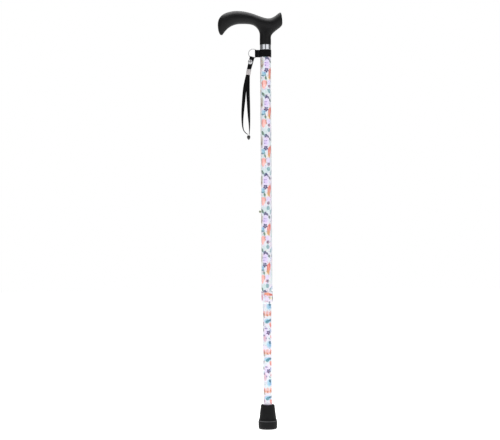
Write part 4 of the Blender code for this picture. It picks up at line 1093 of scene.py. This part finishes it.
# ---- Wrist loop -----------------------------------------------------------------------------------
# One narrow woven tape, doubled into a loop. Its two strands hang from the crimp and turn edge-on as
# they fall, and a moulded bead holds them together above a short tail.
TAPE_WIDTH = 7.4 * MM
TAPE_THICK = 1.15 * MM
LEFT_STRAND = [
    (-36.6, -0.9, 734.4, 0),
    (-37.0, -0.9, 732.2, 0),
    (-39.6, -1.0, 722.0, 0),
    (-41.8, -1.2, 712.0, 2),
    (-43.5, -1.4, 702.0, 6),
    (-44.9, -1.6, 689.0, 14),
    (-46.1, -1.7, 676.0, 26),
    (-47.2, -1.7, 664.0, 38),
    (-48.1, -1.6, 652.0, 50),
    (-48.5, -1.4, 641.0, 62),
    (-48.4, -1.2, 631.0, 72),
    (-47.4, -1.0, 622.5, 80),
    (-45.2, -0.9, 616.5, 86),
    (-42.0, -0.9, 612.5, 88),
    (-39.2, -0.9, 610.3, 90),
    (-37.4, -0.9, 609.2, 90),
]
RIGHT_STRAND = [
    (-35.8, 0.9, 734.4, 0),
    (-36.2, 0.9, 732.2, 0),
    (-36.4, 1.0, 720.0, 0),
    (-36.6, 1.2, 706.0, -3),
    (-36.5, 1.4, 692.0, -12),
    (-36.0, 1.6, 678.0, -24),
    (-35.5, 1.7, 665.0, -36),
    (-35.0, 1.7, 652.0, -48),
    (-34.5, 1.6, 640.0, -60),
    (-34.1, 1.4, 630.0, -72),
    (-34.0, 1.2, 621.0, -80),
    (-34.3, 1.1, 615.0, -86),
    (-34.8, 1.0, 608.4, -90),
]
knot_low, knot_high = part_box("loop_knot")
KNOT_CENTRE = (knot_low + knot_high) / 2


def tape_strand(name, points):
    """One strand through points of (x, y, z, turn): its flat side turns as it falls."""
    route, length = smooth_route([(x * MM, y * MM, z * MM) for x, y, z, _ in points], 80)
    sides = []
    for step, here in enumerate(route):
        ahead = route[min(step + 1, len(route) - 1)] - route[max(step - 1, 0)]
        drop = here.z / MM
        k = max(i for i in range(len(points)) if i == 0 or points[i][2] >= drop - 1e-6)
        k = min(k, len(points) - 2)
        share = (points[k][2] - drop) / max(points[k][2] - points[k + 1][2], 1e-6)
        twist = points[k][3] + (points[k + 1][3] - points[k][3]) * min(max(share, 0.0), 1.0)
        level = Vector((0.0, -1.0, 0.0)).cross(ahead).normalized()
        if level.x < 0:
            level = -level
        sides.append(Matrix.Rotation(math.radians(twist), 3, ahead.normalized()) @ level)
    piece = strip(name, route, sides, TAPE_WIDTH, TAPE_THICK, lanes=8)
    dress(piece, webbing(name + "_black", srgb(8, 7, 9), TAPE_WIDTH / MM, length / MM, 0.55))
    settle(piece, 50)
    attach(piece, "strap")
    return piece, route


BEAD_PROFILE = [
    (0.0, 4.8), (1.6, 4.6), (2.5, 4.0), (3.1, 3.0), (3.4, 1.8), (3.4, 0.2), (3.25, -0.9), (2.9, -1.9),
    (2.3, -2.9), (1.7, -3.6), (1.25, -4.2), (1.1, -4.75), (0.0, -4.8),
]
bead = lathe("loop_bead", in_mm(BEAD_PROFILE), 48)
bead.location = KNOT_CENTRE
bead_plastic, nodes, shader, place = new_material("bead_black", srgb(22, 22, 23), 0.45)
grain = nodes.noise(place, 900.0, 3.0)
nodes.mottle(shader, grain, srgb(18, 18, 19), srgb(30, 30, 31), 0.38, 0.55)
dress(bead, bead_plastic)
settle(bead, 40)
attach(bead, "strap")
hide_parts("loop_knot")

left_strand, left_route = tape_strand("loop_strand_left", LEFT_STRAND)
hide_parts("loop_left")
right_strand, right_route = tape_strand("loop_strand_right", RIGHT_STRAND)
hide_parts("loop_right")

# ---- Floor, light and camera ----------------------------------------------------------------------
# The cane stands upright on a white floor under a large overhead soft box, with one more each side of
# the camera. Their gap gives the chrome its dark line.
FLOOR_R, FLOOR_Z = 6.0, -0.4 * MM
clear_choice()
bpy.ops.mesh.primitive_circle_add(vertices=96, radius=FLOOR_R, fill_type="NGON", location=(0, 0, FLOOR_Z))
floor = bpy.context.object
floor.name = "floor"
floor_white, nodes, shader, _ = new_material(
    "floor_white", (0.9, 0.9, 0.9), 0.9, Specular_IOR_Level=0.05, Emission_Strength=0.86
)
nodes.put(shader.inputs["Emission Color"], (1.0, 1.0, 1.0))
dress(floor, floor_white)

world = bpy.data.worlds.new("studio")
bpy.context.scene.world = world
world.use_nodes = True
world_nodes = Nodes(world.node_tree)
seen = world.node_tree.nodes["Background"]
world_nodes.put(seen.inputs["Color"], (1.0, 1.0, 1.0))
seen.inputs["Strength"].default_value = 1.0
lit = world_nodes.add("ShaderNodeBackground", (1.0, 1.0, 1.0), 0.22)
path = world_nodes.add("ShaderNodeLightPath")
both = world_nodes.add("ShaderNodeMixShader", path.outputs["Is Camera Ray"], lit, seen)
world_nodes.put(world.node_tree.nodes["World Output"].inputs["Surface"], both)


def soft_box(name, place, target, width, height, power):
    """A rectangular lamp at a place, turned to its target and not seen itself."""
    light = bpy.data.lights.new(name, "AREA")
    light.shape = "RECTANGLE"
    light.size = width
    light.size_y = height
    light.energy = power
    lamp = bpy.data.objects.new(name, light)
    bpy.context.scene.collection.objects.link(lamp)
    lamp.location = place
    lamp.rotation_euler = (Vector(target) - Vector(place)).to_track_quat("-Z", "Y").to_euler()
    lamp.visible_camera = False


soft_box("overhead_light", (-0.1, 0.25, 2.15), (-0.1, 0.25, 0.0), 1.8, 1.8, 62.0)
soft_box("left_light", (-1.25, -1.93, 1.0), (0.0, 0.0, 0.7), 2.2, 1.5, 10.0)
soft_box("right_light", (1.54, -1.71, 1.0), (0.0, 0.0, 0.7), 2.4, 1.5, 13.2)

VIEW_DISTANCE, VIEW_WIDTH = 3.0, 1.035
VIEW_X, VIEW_Z = -34.2 * MM, 432.2 * MM
VIEW_ROLL = math.radians(-0.374)
SENSOR_WIDTH = 36.0
camera_data = bpy.data.cameras.new("camera")
camera_data.sensor_width = SENSOR_WIDTH
camera_data.lens = SENSOR_WIDTH * VIEW_DISTANCE / VIEW_WIDTH
camera = bpy.data.objects.new("camera", camera_data)
bpy.context.scene.collection.objects.link(camera)
camera.location = (VIEW_X, -VIEW_DISTANCE, VIEW_Z)
camera.rotation_euler = Matrix.Rotation(math.radians(90), 3, "X").to_euler()
camera.rotation_euler.rotate_axis("Z", VIEW_ROLL)
bpy.context.scene.camera = camera
bpy.context.scene.view_settings.view_transform = "Standard"

bpy.context.view_layer.update()
